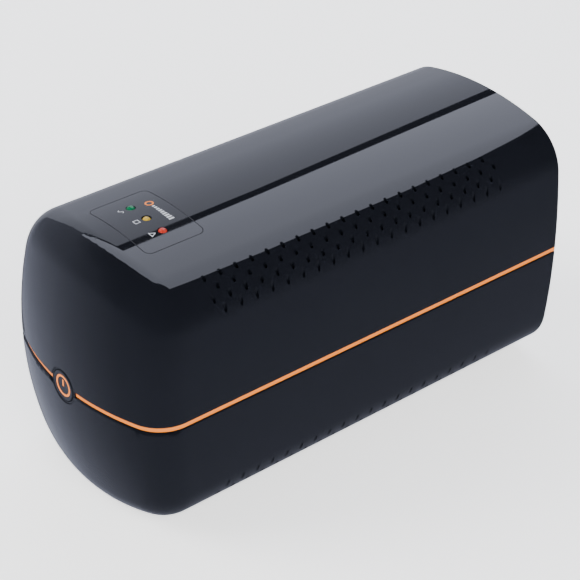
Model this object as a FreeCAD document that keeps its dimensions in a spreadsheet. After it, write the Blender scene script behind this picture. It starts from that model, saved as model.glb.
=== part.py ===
"""Uninterruptible power supply with a loaf-shaped case, modelled piece by piece.

Millimetres. +Z is up and the feet stand on z = 0. The case is centred on x = 0 and y = 0.
Its domed front, with the power button, faces -Y, and the recessed rear panel, with the outlets, faces +Y.
"""
import FreeCAD, Part
import math
import os
import re

import Sketcher

App = FreeCAD
V = App.Vector
doc = App.newDocument("power_supply")
MOST_LEFT_BY_CUT = 0.995  # a cut that leaves more than this share has missed
EDGE_MARGIN = 0.1

# ---------------------------------------------------------------- driving sizes
SIZES = {
    # case
    "case_length": 287, "half_width": 64.85, "half_height": 76.5, "corner_radius": 27.85,
    "side_crown": 2.53, "top_crown": 4.1, "dome_plan_radius": 146.8, "dome_side_radius": 233.8,
    "nose_radius": 21.3, "rim_radius": 1.5, "base_flat": 3.5, "wall": 2.5, "root_inset": 1.5,
    "lip_clearance": 0.15, "lip_wall": 1.5, "lip_rise": 5, "lip_drop": 12, "lip_rear_gap": 12,
    # trim band between the shells
    "band_rise": 0.8, "band_drop": 2.4, "band_inset": 0.7, "band_end_gap": 0.3, "seam_gap": 0.5,
    # feet
    "foot_stand": 4, "foot_radius": 6.5, "foot_chamfer": 1, "stem_radius": 2.4, "stem_rise": 1,
    "foot_spacing": 56, "foot_front": 43.5, "foot_rear": 28.5,
    # vent slots: four rows on every long corner
    "vent_count": 20, "vent_pitch": 9.73, "vent_first": 52.2, "vent_angle": 55.6, "vent_angle_step": 11.3,
    "vent_width": 2, "vent_length": 3, "vent_length_step": 0.3, "vent_depth": 32,
    # display film and lamps
    "film_half_width": 26, "film_front": 37, "film_rear": 72.5, "film_corner": 4, "film_thickness": 0.35,
    "film_gap": 0.15, "lamp_radius": 2.5, "lamp_flange_radius": 2.9, "lamp_flange": 1, "lamp_pitch": 13.5,
    "lamp_row": 55, "lamp_proud": 0.5, "lamp_clearance": 0.1, "lamp_board_half_width": 24,
    "lamp_board_half_depth": 9.5, "lamp_board_drop": 9, "board_thickness": 1.6, "lamp_boss_x": 20,
    # power button
    "bezel_radius": 10, "bezel_bore": 8.9, "bezel_setback": 0.5, "bezel_length": 10.5, "bezel_fit": 0.15,
    "bezel_flange_radius": 13, "bezel_flange": 2, "bezel_seat": 5, "cradle_half_width": 16.5,
    "cradle_depth": 9.1, "cradle_fit": 0.1, "cap_radius": 8.6, "cap_setback": 0.2, "cap_flange_radius": 9.6,
    "cap_flange": 1.65, "cap_flange_gap": 0.05, "cap_hollow_radius": 7, "cap_face": 2, "cap_edge": 0.6,
    "cap_boss_radius": 3.2, "cap_boss": 4.5, "ring_outer": 6, "ring_inner": 5, "ring_depth": 0.4,
    "plunger_radius": 1.9, "plunger_length": 16.7, "plunger_fit": 0.3, "switch_half": 4.5,
    "switch_depth": 8, "switch_bore_depth": 7, "spring_radius": 8.3, "spring_wire": 0.8, "spring_turns": 5,
    "switch_board_setback": 23, "switch_board_half_width": 17, "switch_board_drop": 22,
    "switch_board_rise": 9, "pillar_x": 12.5, "pillar_width": 6, "pillar_screw_drop": 17,
    # screws
    "case_screw_radius": 1.5, "case_screw_length": 27, "case_head_radius": 3.1, "case_head": 2.4,
    "strap_screw_radius": 1.4, "strap_screw_length": 9, "strap_head_radius": 2.8, "strap_head": 2,
    "board_screw_radius": 1.1, "board_screw_length": 6, "board_head_radius": 2.2, "board_head": 1.5,
    "screw_clearance": 0.4, "pilot_extra": 1.5, "socket_share": 0.55, "socket_width_share": 0.5,
    "clamp_screw_radius": 1.4, "clamp_screw_length": 6.5, "clamp_head_radius": 2.8, "clamp_head": 2,
    # screw posts
    "post_join_drop": 4, "post_seat_drop": 17, "counterbore_radius": 3.4, "front_post_x": 9.5,
    "front_post_y": 38.5, "front_post_radius": 5, "rear_post_inset": 14.85, "rear_post_y": 16.5,
    "rear_post_radius": 4.5, "strap_post_x": 8.5, "strap_post_radius": 4, "strap_post_height": 58,
    # battery
    "rail_height": 5.5, "rail_x": 24, "rail_width": 3, "battery_width": 65, "battery_length": 151,
    "battery_height": 94, "battery_front": 32.5, "battery_lid": 6, "battery_lid_inset": 0.5,
    "battery_corner": 2, "battery_fit": 0.3, "terminal_x": 22, "terminal_rear": 10, "terminal_width": 6.35,
    "terminal_thickness": 0.8, "terminal_height": 6, "strap_thickness": 1.5, "strap_width": 20,
    "strap_middle": 71, "gusset_count": 4, "gusset_thickness": 2, "gusset_shift": 8, "gusset_height": 38,
    "gusset_reach": 12.5, "stop_height": 14, "stop_thickness": 3, "connector_height": 7.5,
    "connector_thickness": 4.8, "connector_width": 8, "lead_radius": 1.5, "lead_bend": 4.5, "lead_run": 5,
    "lead_rise": 5,
    # transformer
    "core_width": 76, "core_height": 64, "core_stack": 40, "core_gap": 15, "core_leg": 12.7,
    "coil_overhang": 10, "bobbin_wall": 1.2, "bobbin_flange": 2, "coil_inset": 0.5, "clamp_thickness": 1.5,
    "clamp_width": 20, "clamp_foot_width": 36, "clamp_foot_reach": 9.5, "clamp_screw_x": 5.5,
    "clamp_screw_y": 13, "clamp_boss_radius": 3.2, "clamp_boss_height": 7,
    # main board
    "board_gap": 10.4, "board_half_width": 50, "board_front": 73.5, "board_rear": 48.5,
    "board_post_radius": 3.5, "board_post_x": 42, "board_post_inset": 10, "sink_x": 12.7,
    "sink_setback": 25, "sink_height": 25, "sink_plate": 3, "sink_length": 50, "fin_count": 8,
    "fin_thickness": 1.2, "fin_length": 14, "transistor_count": 4, "transistor_width": 10,
    "transistor_height": 15, "transistor_thickness": 4.5, "transistor_pitch": 12, "relay_count": 3,
    "relay_x": 18, "relay_corner": 1, "relay_length": 19, "relay_width": 15.5, "relay_height": 15.5,
    "relay_pitch": 22, "capacitor_count": 3, "capacitor_x": 25, "capacitor_chamfer": 1,
    "capacitor_radius": 8, "capacitor_height": 25, "capacitor_pitch": 20, "chip_x": 30, "chip_gap": 12,
    "chip_side": 14, "chip_thickness": 1.6, "buzzer_radius": 6, "buzzer_height": 9, "buzzer_x": 30,
    "buzzer_gap": 45, "buzzer_hole": 1.5, "buzzer_hole_depth": 3, "fuse_gap": 40, "fuse_radius": 2.6,
    "fuse_length": 20, "fuse_axis": 5, "clip_thickness": 0.6, "clip_length": 5, "clip_rise": 1,
    "header_count": 3, "header_inset": 3, "header_setback": 30, "header_pitch": 35, "header_length": 15,
    "header_width": 6, "header_height": 9,
    # rear panel and what sits on it
    "panel_recess": 6, "panel_thickness": 2.5, "panel_fit": 0.05, "groove_rib": 2.6,
    "groove_rib_front": 3.15, "outlet_x": 23.5, "outlet_height": 110, "outlet_flange_radius": 22.6,
    "outlet_flange": 1.8, "outlet_radius": 21, "outlet_fit": 0.1, "well_radius": 19.5, "well_depth": 17.5,
    "well_floor": 2.5, "chamber_radius": 18.7, "chamber_depth": 13.3, "contact_x": 9.5,
    "contact_hole_radius": 2.6, "cover_thickness": 2, "shutter_thickness": 2, "shutter_play": 0.1,
    "shutter_half_height": 3.4, "shutter_left": 12.35, "shutter_right": 12.4, "shutter_window": 4,
    "rail_wall": 1.5, "contact_outer": 3.4, "contact_inner": 2.45, "contact_length": 10.9, "tab_length": 8,
    "tab_width": 5, "tab_thickness": 0.8, "earth_height": 16.6, "earth_thickness": 1, "earth_width": 6,
    "earth_setback": 3.3, "guide_width": 5, "guide_depth": 2, "guide_root": 1, "cover_root": 1,
    "ledge_height": 2, "ledge_offset": 2.5, "contact_floor": 1, "inlet_x": 24, "inlet_height": 55,
    "inlet_flange_width": 31, "inlet_flange_height": 25, "inlet_flange": 2, "inlet_width": 27,
    "inlet_body_height": 20, "inlet_depth": 20, "inlet_recess_width": 24, "inlet_recess_height": 16.5,
    "inlet_recess_depth": 16, "inlet_corner": 4, "inlet_flange_corner": 2, "pin_width": 2, "pin_height": 4,
    "pin_pitch": 7, "pin_rise": 2, "pin_tail": 6.5, "pin_setback": 3, "breaker_x": 24, "breaker_height": 55,
    "breaker_width": 28, "breaker_body_height": 16, "breaker_depth": 23, "neck_radius": 5.4,
    "neck_fit": 0.1, "neck_length": 6, "nut_radius": 8, "nut_thickness": 2.7, "reset_radius": 3.2,
    "reset_bore": 3.5, "reset_inside": 6.5, "reset_chamfer": 0.6, "breaker_floor": 2, "reset_proud": 2.2,
    "port_board_half_width": 38, "port_board_depth": 24.5, "port_board_height": 20, "port_boss_x": 34,
    "port_boss_radius": 3, "data_x": 20.5, "data_width": 31, "data_height": 13.5, "data_depth": 16.5,
    "port_proud": 0.5, "data_pitch": 15.6, "data_port_width": 11.8, "data_port_height": 8.6,
    "data_port_lift": 2.6, "data_port_depth": 12, "latch_width": 6, "latch_drop": 1.6, "latch_join": 1,
    "usb_x": 22, "usb_width": 12, "usb_height": 11, "usb_port_width": 8.5, "usb_port_height": 7.8,
    "usb_port_depth": 11, "usb_tongue_width": 5.6, "usb_tongue_height": 3.2,
}

sheet = doc.addObject("Spreadsheet::Sheet", "dims")
for row, (alias, number) in enumerate(SIZES.items(), 1):
    sheet.set(f"A{row}", alias)
    sheet.set(f"B{row}", str(number))
    sheet.setAlias(f"B{row}", alias)
probe = doc.addObject("App::FeaturePython", "probe")
probe.addProperty("App::PropertyFloat", "reading")
doc.recompute()

# Places worked out from the sizes, as expressions.
MID = "(foot_stand + half_height - base_flat)"
FRONT = "(-case_length / 2)"
REAR = "(case_length / 2)"
TOP = f"({MID} + half_height)"
FLOOR = "(foot_stand + wall)"
BEYOND = "(half_width + 10)"
CORNER_X = "(half_width - corner_radius - side_crown)"
CORNER_Z = "(half_height - corner_radius - top_crown)"
TOP_CENTRE = f"(((half_height - corner_radius)^2 - {CORNER_X}^2 - {CORNER_Z}^2) / (2 * top_crown))"
SIDE_CENTRE = f"(((half_width - corner_radius)^2 - {CORNER_X}^2 - {CORNER_Z}^2) / (2 * side_crown))"
SEAM_TOP = f"({MID} + band_rise)"
SEAM_LEDGE = f"({MID} - band_drop)"
SEAM_BOTTOM = f"({MID} - band_drop - seam_gap)"
BATTERY_Z = f"({FLOOR} + rail_height)"
BATTERY_Y = f"({FRONT} + battery_front)"
BATTERY_TOP = f"({BATTERY_Z} + battery_height)"
CORE_Y = f"({BATTERY_Y} + battery_length + core_gap)"
CORE_TOP = f"({BATTERY_Z} + core_height)"
BOARD_Z = f"({BATTERY_TOP} + board_gap)"
BOARD_TOP = f"({BOARD_Z} + board_thickness)"
LAMP_BOARD_TOP = f"({TOP} - lamp_board_drop)"
PANEL_Y = f"({REAR} - panel_recess)"
PANEL_BACK = f"({PANEL_Y} - panel_thickness)"

TURN = {"x": App.Rotation(V(0, 1, 0), 90), "y": App.Rotation(V(1, 0, 0), -90), "z": App.Rotation()}
ACROSS = {"x": "yz", "y": "xz", "z": "xy"}


# ---------------------------------------------------------------- helpers
def bound(text):
    """The expression with each size's name turned into a reference to its cell."""
    return re.sub(r"[a-z][a-z_]+", lambda word: "dims." + word[0] if word[0] in SIZES else word[0], str(text))


def bind(thing, path, text):
    thing.setExpression(path, bound(text))


def measured(text):
    """The present value of an expression."""
    bind(probe, "reading", text)
    probe.recompute()
    return probe.reading


def place(piece, x, y, z):
    for axis, text in zip("xyz", (x, y, z)):
        bind(piece, f"Placement.Base.{axis}", text)
    return piece


def block(name, x, y, z):
    """A box between two bounds along each axis."""
    piece = doc.addObject("Part::Box", name)
    for side, (low, high) in zip(("Length", "Width", "Height"), (x, y, z)):
        bind(piece, side, f"({high}) - ({low})")
    return place(piece, x[0], y[0], z[0])


def rod(name, axis, centre, span, radius, kind="Part::Cylinder", size="Radius"):
    """A cylinder along an axis, or with kind and size a hexagonal prism."""
    piece = doc.addObject(kind, name)
    piece.Placement = App.Placement(V(), TURN[axis])
    bind(piece, size, radius)
    bind(piece, "Height", f"({span[1]}) - ({span[0]})")
    spots = dict(zip(ACROSS[axis], centre))
    spots[axis] = span[0]
    return place(piece, spots["x"], spots["y"], spots["z"])


def hexagon(name, axis, centre, span, radius):
    return rod(name, axis, centre, span, radius, "Part::Prism", "Circumradius")


def combine(kind, name, pieces, links):
    piece = doc.addObject(kind, name)
    for link, value in zip(links, pieces):
        setattr(piece, link, value)
    return piece


def join(name, *pieces):
    return combine("Part::MultiFuse", name, [list(pieces)], ["Shapes"])


def group(name, *pieces):
    """Separate solids that share one node."""
    return combine("Part::Compound", name, [list(pieces)], ["Links"])


def common(name, base, tool):
    return combine("Part::Common", name, [base, tool], ["Base", "Tool"])


def cut(name, base, *tools):
    tool = tools[0] if len(tools) == 1 else join(name + "_cutters", *tools)
    return combine("Part::Cut", name, [base, tool], ["Base", "Tool"])


def mirrored(piece):
    """The same piece on the other side of x = 0."""
    copy = combine("Part::Mirroring", piece.Name + "_mirrored", [piece], ["Source"])
    copy.Normal = V(1, 0, 0)
    return copy


def both(piece):
    return [piece, mirrored(piece)]


def body_at(name, axis, x, y, z):
    body = doc.addObject("PartDesign::Body", name)
    body.Placement = App.Placement(V(), TURN[axis])
    return place(body, x, y, z)


def sketch_on(body, role, name):
    sketch = body.newObject("Sketcher::SketchObject", name)
    plane = next(item for item in body.Origin.OriginFeatures if item.Role == role)
    sketch.AttachmentSupport = [(plane, "")]
    sketch.MapMode = "FlatFace"
    return sketch


def relate(sketch, *parts):
    return sketch.addConstraint(Sketcher.Constraint(*parts))


def dimension(sketch, text, *parts):
    """A dimension whose value is bound to the sheet."""
    index = relate(sketch, *parts, measured(text))
    bind(sketch, f"Constraints[{index}]", text)


def locate(sketch, item, point, x, y):
    """Dimensions that place one point of a sketch from its origin."""
    for kind, text in (("DistanceX", x), ("DistanceY", y)):
        if measured(text) < 0:
            dimension(sketch, f"-({text})", kind, item, point, -1, 1)
        else:
            dimension(sketch, text, kind, -1, 1, item, point)


def outline(sketch, points):
    """A closed outline of straight sides through points given as pairs of expressions."""
    spots = [V(measured(x), measured(y), 0) for x, y in points]
    count = len(points)
    for index in range(count):
        sketch.addGeometry(Part.LineSegment(spots[index], spots[(index + 1) % count]), False)
    for index in range(count):
        relate(sketch, "Coincident", index, 2, (index + 1) % count, 1)
    for index, (x, y) in enumerate(points):
        locate(sketch, index, 1, x, y)


def turned(name, axis, centre, start, profile):
    """A solid of revolution about an axis, from (radius, height) points; heights are taken from start."""
    spots = dict(zip(ACROSS[axis], centre))
    spots[axis] = start
    body = body_at(name, axis, spots["x"], spots["y"], spots["z"])
    sketch = sketch_on(body, "XZ_Plane", name + "_profile")
    outline(sketch, profile)
    turn = body.newObject("PartDesign::Revolution", name + "_turn")
    turn.Profile = sketch
    turn.ReferenceAxis = (sketch, ["V_Axis"])
    turn.Angle = 360
    return body


def plate(name, axis, x, y, z, radius):
    """A box whose edges along one axis, z or y, are rounded."""
    body = body_at(name, axis, x[0], y[0], z[0] if axis == "z" else z[1])
    spans = {"x": f"({x[1]}) - ({x[0]})", "y": f"({y[1]}) - ({y[0]})", "z": f"({z[1]}) - ({z[0]})"}
    across = "y" if axis == "z" else "z"
    sketch = sketch_on(body, "XY_Plane", name + "_outline")
    outline(sketch, [("0", "0"), (spans["x"], "0"), (spans["x"], spans[across]), ("0", spans[across])])
    pad = body.newObject("PartDesign::Pad", name + "_pad")
    pad.Profile = sketch
    bind(pad, "Length", spans[axis])
    doc.recompute()
    upright = [f"Edge{number}" for number, edge in enumerate(pad.Shape.Edges, 1)
               if edge.BoundBox.ZLength > measured(spans[axis]) / 2]
    rounding = body.newObject("PartDesign::Fillet", name + "_rounding")
    rounding.Base = (pad, upright)
    bind(rounding, "Radius", radius)
    return body


def screw(name, axis, centre, seat, into, kind):
    """A screw with a hexagon socket. Its head bears at seat, and its tip points along into, +1 or -1."""
    radius, length, head_radius, head = (
        f"{kind}_screw_radius", f"{kind}_screw_length", f"{kind}_head_radius", f"{kind}_head")
    if into > 0:
        head_span = (f"{seat} - {head}", seat)
        shank_span = (seat, f"{seat} + {length}")
        socket = (head_span[0], f"{seat} - {head} * (1 - socket_share)")
    else:
        head_span = (seat, f"{seat} + {head}")
        shank_span = (f"{seat} - {length}", seat)
        socket = (f"{seat} + {head} * (1 - socket_share)", head_span[1])
    whole = join(name + "_blank", rod(name + "_head", axis, centre, head_span, head_radius),
                 rod(name + "_shank", axis, centre, shank_span, radius))
    key = hexagon(name + "_socket", axis, centre, socket, f"{head_radius} * socket_width_share")
    return cut(name, whole, key)


def pilot(name, axis, centre, seat, into, kind):
    """The blind hole that a screw cuts its thread in, from the bearing face of its head."""
    far = f"{kind}_screw_length + pilot_extra"
    span = (seat, f"{seat} + {far}") if into > 0 else (f"{seat} - ({far})", seat)
    return rod(name, axis, centre, span, f"{kind}_screw_radius")


def clearance(name, axis, centre, span, kind):
    return rod(name, axis, centre, span, f"{kind}_screw_radius + screw_clearance")


# ---------------------------------------------------------------- the case as a solid form
def arc(x, y, radius, start, end):
    return Part.ArcOfCircle(Part.Circle(V(x, y, 0), V(0, 0, 1), radius), start, end)


def section_sketch(body, inset):
    """The closed cross-section: four crowned sides and four corners, eight arcs tangent to each other."""
    depth = measured(inset)
    corner = measured("corner_radius") - depth
    x, z = measured(CORNER_X), measured(CORNER_Z)
    top_centre, side_centre = measured(TOP_CENTRE), measured(SIDE_CENTRE)
    top = measured("half_height") - top_centre - depth
    side = measured("half_width") - side_centre - depth
    low, high = math.atan2(z, x - side_centre), math.atan2(z - top_centre, x)
    half = math.pi
    whole = 2 * math.pi
    sketch = sketch_on(body, "XZ_Plane", body.Name + "_section")
    sketch.addGeometry([
        arc(side_centre, 0, side, -low, low), arc(x, z, corner, low, high),
        arc(0, top_centre, top, high, half - high), arc(-x, z, corner, half - high, half - low),
        arc(-side_centre, 0, side, half - low, half + low), arc(-x, -z, corner, half + low, half + high),
        arc(0, -top_centre, top, half + high, whole - high), arc(x, -z, corner, whole - high, whole - low),
    ], False)
    for index in range(8):
        relate(sketch, "Tangent", index, 2, (index + 1) % 8, 1)
    for index, across, up in ((1, "", ""), (3, "-", ""), (5, "-", "-"), (7, "", "-")):
        locate(sketch, index, 3, across + CORNER_X, up + CORNER_Z)
        dimension(sketch, f"corner_radius - ({inset})", "Radius", index)
    for index, total, centre in ((0, "half_width", SIDE_CENTRE), (4, "half_width", SIDE_CENTRE),
                                 (2, "half_height", TOP_CENTRE), (6, "half_height", TOP_CENTRE)):
        dimension(sketch, f"{total} - {centre} - ({inset})", "Radius", index)
    return sketch


def dome_sketch(body, inset):
    """What the front dome leaves out: the space beyond a shallow arc, to be turned about a cross axis."""
    depth = measured(inset)
    plan, side, wide = measured("dome_plan_radius"), measured("dome_side_radius"), measured(BEYOND)
    outer = "(dome_side_radius + half_height / 2)"
    far = measured(outer)
    lean = math.asin(wide / (plan - depth))
    centre = side - plan
    edge = centre + (plan - depth) * math.cos(lean)
    sketch = sketch_on(body, "XZ_Plane", body.Name + "_dome")
    bind(sketch, "AttachmentOffset.Base.z", "-dome_side_radius")
    sketch.addGeometry(arc(0, centre, plan - depth, math.pi / 2 - lean, math.pi / 2 + lean), False)
    corners = [V(-wide, edge, 0), V(-wide, far, 0), V(wide, far, 0), V(wide, edge, 0)]
    for start, end in zip(corners, corners[1:]):
        sketch.addGeometry(Part.LineSegment(start, end), False)
    for first, second in ((0, 1), (1, 2), (2, 3), (3, 0)):
        relate(sketch, "Coincident", first, 2, second, 1)
    relate(sketch, "PointOnObject", 0, 3, -2)
    dimension(sketch, "dome_side_radius - dome_plan_radius", "DistanceY", -1, 1, 0, 3)
    dimension(sketch, f"dome_plan_radius - ({inset})", "Radius", 0)
    dimension(sketch, BEYOND, "DistanceX", -1, 1, 0, 1)
    dimension(sketch, BEYOND, "DistanceX", 0, 2, -1, 1)
    locate(sketch, 1, 2, "-" + BEYOND, outer)
    locate(sketch, 2, 2, BEYOND, outer)
    return sketch


def case_form(name, inset, length, rim=False):
    """The whole case as one solid, drawn in by inset all round, with its domed front and rounded nose."""
    body = body_at(name, "z", "0", FRONT, MID)
    section = section_sketch(body, inset)
    pad = body.newObject("PartDesign::Pad", name + "_pad")
    pad.Profile = section
    pad.Reversed = True
    bind(pad, "Length", length)
    dome = dome_sketch(body, inset)
    groove = body.newObject("PartDesign::Groove", name + "_dome_cut")
    groove.Profile = dome
    groove.ReferenceAxis = (dome, ["H_Axis"])
    groove.Angle = 360
    doc.recompute()
    if groove.Shape.Volume > pad.Shape.Volume * MOST_LEFT_BY_CUT:
        raise RuntimeError(name + ": the dome cut removed nothing")
    front = [f"Edge{number}" for number, edge in enumerate(groove.Shape.Edges, 1)
             if edge.BoundBox.YMax < measured("case_length / 4")]
    nose = body.newObject("PartDesign::Fillet", name + "_nose")
    nose.Base = (groove, front)
    bind(nose, "Radius", f"nose_radius - ({inset})")
    doc.recompute()
    if rim:
        back = [f"Edge{number}" for number, edge in enumerate(nose.Shape.Edges, 1)
                if edge.BoundBox.YMin > measured("case_length") - EDGE_MARGIN]
        rounding = body.newObject("PartDesign::Fillet", name + "_rim")
        rounding.Base = (nose, back)
        bind(rounding, "Radius", "rim_radius")
        doc.recompute()
    return body


outer_form = case_form("outer_form", "0", "case_length", rim=True)
film_form = case_form("film_form", "film_thickness", "case_length")
band_form = case_form("band_form", "band_inset", "case_length - band_end_gap")
root_form = case_form("root_form", "root_inset", "case_length - root_inset")
cavity_form = case_form("cavity_form", "wall", "case_length + wall")
lip_form = case_form("lip_form", "wall + lip_clearance", "case_length + wall")
inner_form = case_form("inner_form", "wall + lip_clearance + lip_wall", "case_length + wall")


def slab(name, z, y=(f"{FRONT} - wall", f"{REAR} + 2 * wall")):
    """A block as wide as the case between two heights."""
    return block(name, (f"-{BEYOND}", BEYOND), y, z)


def ring(name, outside, inside, z, y=(f"{FRONT} - wall", f"{REAR} + 2 * wall")):
    """The skin between two forms, kept between two heights."""
    return common(name, cut(name + "_skin", outside, inside), slab(name + "_slab", z, y))


def vent_slots(name, low, high):
    """Four rows of upright slots through both long corners; every other row stands half a pitch on."""
    body = body_at(name + "_row", "z", "0", f"{FRONT} + vent_first", low)
    body.AllowCompound = True
    sketch = sketch_on(body, "XY_Plane", name + "_outlines")
    half = measured("vent_width") / 2
    for row in range(4):
        angle = f"(vent_angle - {row} * vent_angle_step)"
        middle = f"({CORNER_X} + corner_radius * cos({angle}))"
        reach = f"((vent_length - {row} * vent_length_step - vent_width) / 2)"
        along = f"({row % 2} * vent_pitch / 2)"
        x, y, run = measured(middle), measured(along), measured(reach)
        first = 4 * row
        sketch.addGeometry([
            Part.LineSegment(V(x - run, y - half, 0), V(x + run, y - half, 0)),
            arc(x + run, y, half, -math.pi / 2, math.pi / 2),
            Part.LineSegment(V(x + run, y + half, 0), V(x - run, y + half, 0)),
            arc(x - run, y, half, math.pi / 2, 3 * math.pi / 2),
        ], False)
        for index in range(4):
            relate(sketch, "Tangent", first + index, 2, first + (index + 1) % 4, 1)
        relate(sketch, "Horizontal", first)
        dimension(sketch, "vent_width / 2", "Radius", first + 1)
        locate(sketch, first + 1, 3, f"{middle} + {reach}", along)
        locate(sketch, first + 3, 3, f"{middle} - {reach}", along)
    pad = body.newObject("PartDesign::Pad", name + "_pad")
    pad.Profile = sketch
    bind(pad, "Length", f"({high}) - ({low})")
    doc.recompute()
    rows = body.newObject("PartDesign::LinearPattern", name + "_rows")
    rows.Originals = [pad]
    rows.Direction = (sketch, ["V_Axis"])
    bind(rows, "Length", "vent_pitch * (vent_count - 1)")
    bind(rows, "Occurrences", "vent_count")
    body.Tip = rows
    doc.recompute()
    return group(name, *both(body))


# ---------------------------------------------------------------- shared places
FRONT_POST = ("battery_width / 2 + front_post_x", f"{FRONT} + front_post_y")
REAR_POST = ("half_width - rear_post_inset", f"{REAR} - rear_post_y")
POST_JOIN = f"({MID} - post_join_drop)"
POST_SEAT = f"({MID} - post_seat_drop)"
CASE_POSTS = (("front", FRONT_POST, "front_post_radius"), ("rear", REAR_POST, "rear_post_radius"))
BOARD_POST_X = "board_post_x"
BOARD_Y = (f"({FRONT} + board_front)", f"({REAR} - board_rear)")
BOARD_POSTS = (("front", f"({BOARD_Y[0]} + board_post_inset)"),
               ("rear", f"({BOARD_Y[1]} - board_post_inset)"))
LAMP_Y = f"({FRONT} + lamp_row)"
BUTTON = ("0", f"({MID} - (band_drop - band_rise) / 2)")
SEAT_Y = f"({FRONT} + bezel_seat)"
CRADLE_Y = (f"({FRONT} + root_inset)", f"({FRONT} + cradle_depth)")
SWITCH_BOARD_Y = f"({FRONT} + switch_board_setback)"
PILLAR_Y = (f"({SWITCH_BOARD_Y} + board_thickness)", BATTERY_Y)
PILLAR_SCREW_Z = f"({MID} - pillar_screw_drop)"
STRAP_POST = ("(battery_width / 2 + strap_post_x)", f"({BATTERY_Y} + strap_middle)")
STRAP_SEAT = f"({BATTERY_Z} + strap_post_height)"
CLAMP_X = "(core_width / 2 + clamp_screw_x)"
CLAMP_MID = f"({CORE_Y} + core_stack / 2)"
CLAMP_SEAT = f"({FLOOR} + clamp_boss_height)"
CLAMP_HEAD = f"({CLAMP_SEAT} + clamp_thickness)"
CLAMP_SCREWS = (("front", f"({CLAMP_MID} - clamp_screw_y)"), ("rear", f"({CLAMP_MID} + clamp_screw_y)"))
PORT_BOARD = (f"({PANEL_BACK} - port_board_depth)", PANEL_BACK)
PORT_BOSS_Y = f"({PORT_BOARD[0]} + port_boss_radius + wall / 2)"
PORT_BOARD_Z = "(port_board_height - board_thickness)"
FEET = (("front", f"({FRONT} + foot_front)"), ("rear", f"({REAR} - foot_rear)"))


def groove_ribs(name, z):
    """Two ribs round the inside that the rear panel stands between."""
    spans = ((f"{PANEL_BACK} - groove_rib_front", f"{PANEL_BACK} - panel_fit"),
             (f"{PANEL_Y} + panel_fit", f"{PANEL_Y} + groove_rib"))
    return [ring(f"{name}_{side}", root_form, inner_form, z, y) for side, y in zip(("inner", "outer"), spans)]


def bezel_space(name):
    """The room that both shells leave for the button's bezel and its flange."""
    return [rod(name + "_bore", "y", BUTTON, (f"{FRONT} - wall", f"{CRADLE_Y[1]} + wall"),
                "bezel_radius + bezel_fit"),
            rod(name + "_pocket", "y", BUTTON, (SEAT_Y, f"{SEAT_Y} + bezel_flange + cradle_fit"),
                "bezel_flange_radius + bezel_fit")]


# ---------------------------------------------------------------- top shell
def make_top_shell():
    upper = (SEAM_TOP, f"{TOP} + wall")
    skin = cut("top_skin", common("top_solid", outer_form, slab("top_slab", upper)), cavity_form)
    inside = [block("top_cradle", ("-cradle_half_width", "cradle_half_width"), CRADLE_Y,
                    (SEAM_TOP, f"{BUTTON[1]} + cradle_half_width"))]
    holes = bezel_space("top_button")
    for place_name, (x, y), radius in CASE_POSTS:
        inside += both(rod(f"top_{place_name}_post", "z", (x, y), (POST_JOIN, TOP), radius))
        holes += both(pilot(f"top_{place_name}_pilot", "z", (x, y), POST_SEAT, 1, "case"))
    for place_name, y in BOARD_POSTS:
        inside += both(rod(f"board_{place_name}_post", "z", (BOARD_POST_X, y), (BOARD_TOP, TOP),
                           "board_post_radius"))
        holes += both(pilot(f"board_{place_name}_pilot", "z", (BOARD_POST_X, y), BOARD_Z, 1, "board"))
    inside += both(rod("lamp_boss", "z", ("lamp_boss_x", LAMP_Y), (LAMP_BOARD_TOP, TOP), "port_boss_radius"))
    holes += both(pilot("lamp_pilot", "z", ("lamp_boss_x", LAMP_Y), f"{LAMP_BOARD_TOP} - board_thickness", 1,
                        "board"))
    film_room = plate("film_room", "z", ("-film_half_width", "film_half_width"),
                      (f"{FRONT} + film_front", f"{FRONT} + film_rear"),
                      (f"{TOP} - top_crown", f"{TOP} + wall"), "film_corner")
    holes.append(cut("film_pocket", film_room, film_form))
    for index in range(3):
        spot = (f"({index} - 1) * lamp_pitch", LAMP_Y)
        holes.append(rod(f"lamp_hole_{index + 1}", "z", spot, (f"{TOP} - 3 * wall", f"{TOP} + wall"),
                         "lamp_radius + lamp_clearance"))
    held = common("top_inside", join("top_inside_blank", *inside), root_form)
    whole = join("top_blank", skin, held, *groove_ribs("top_groove", upper))
    drilled = cut("top_drilled", whole, *holes)
    return cut("top_shell", drilled, vent_slots("top_vents", f"{TOP} - vent_depth", f"{TOP} + wall"))


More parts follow.
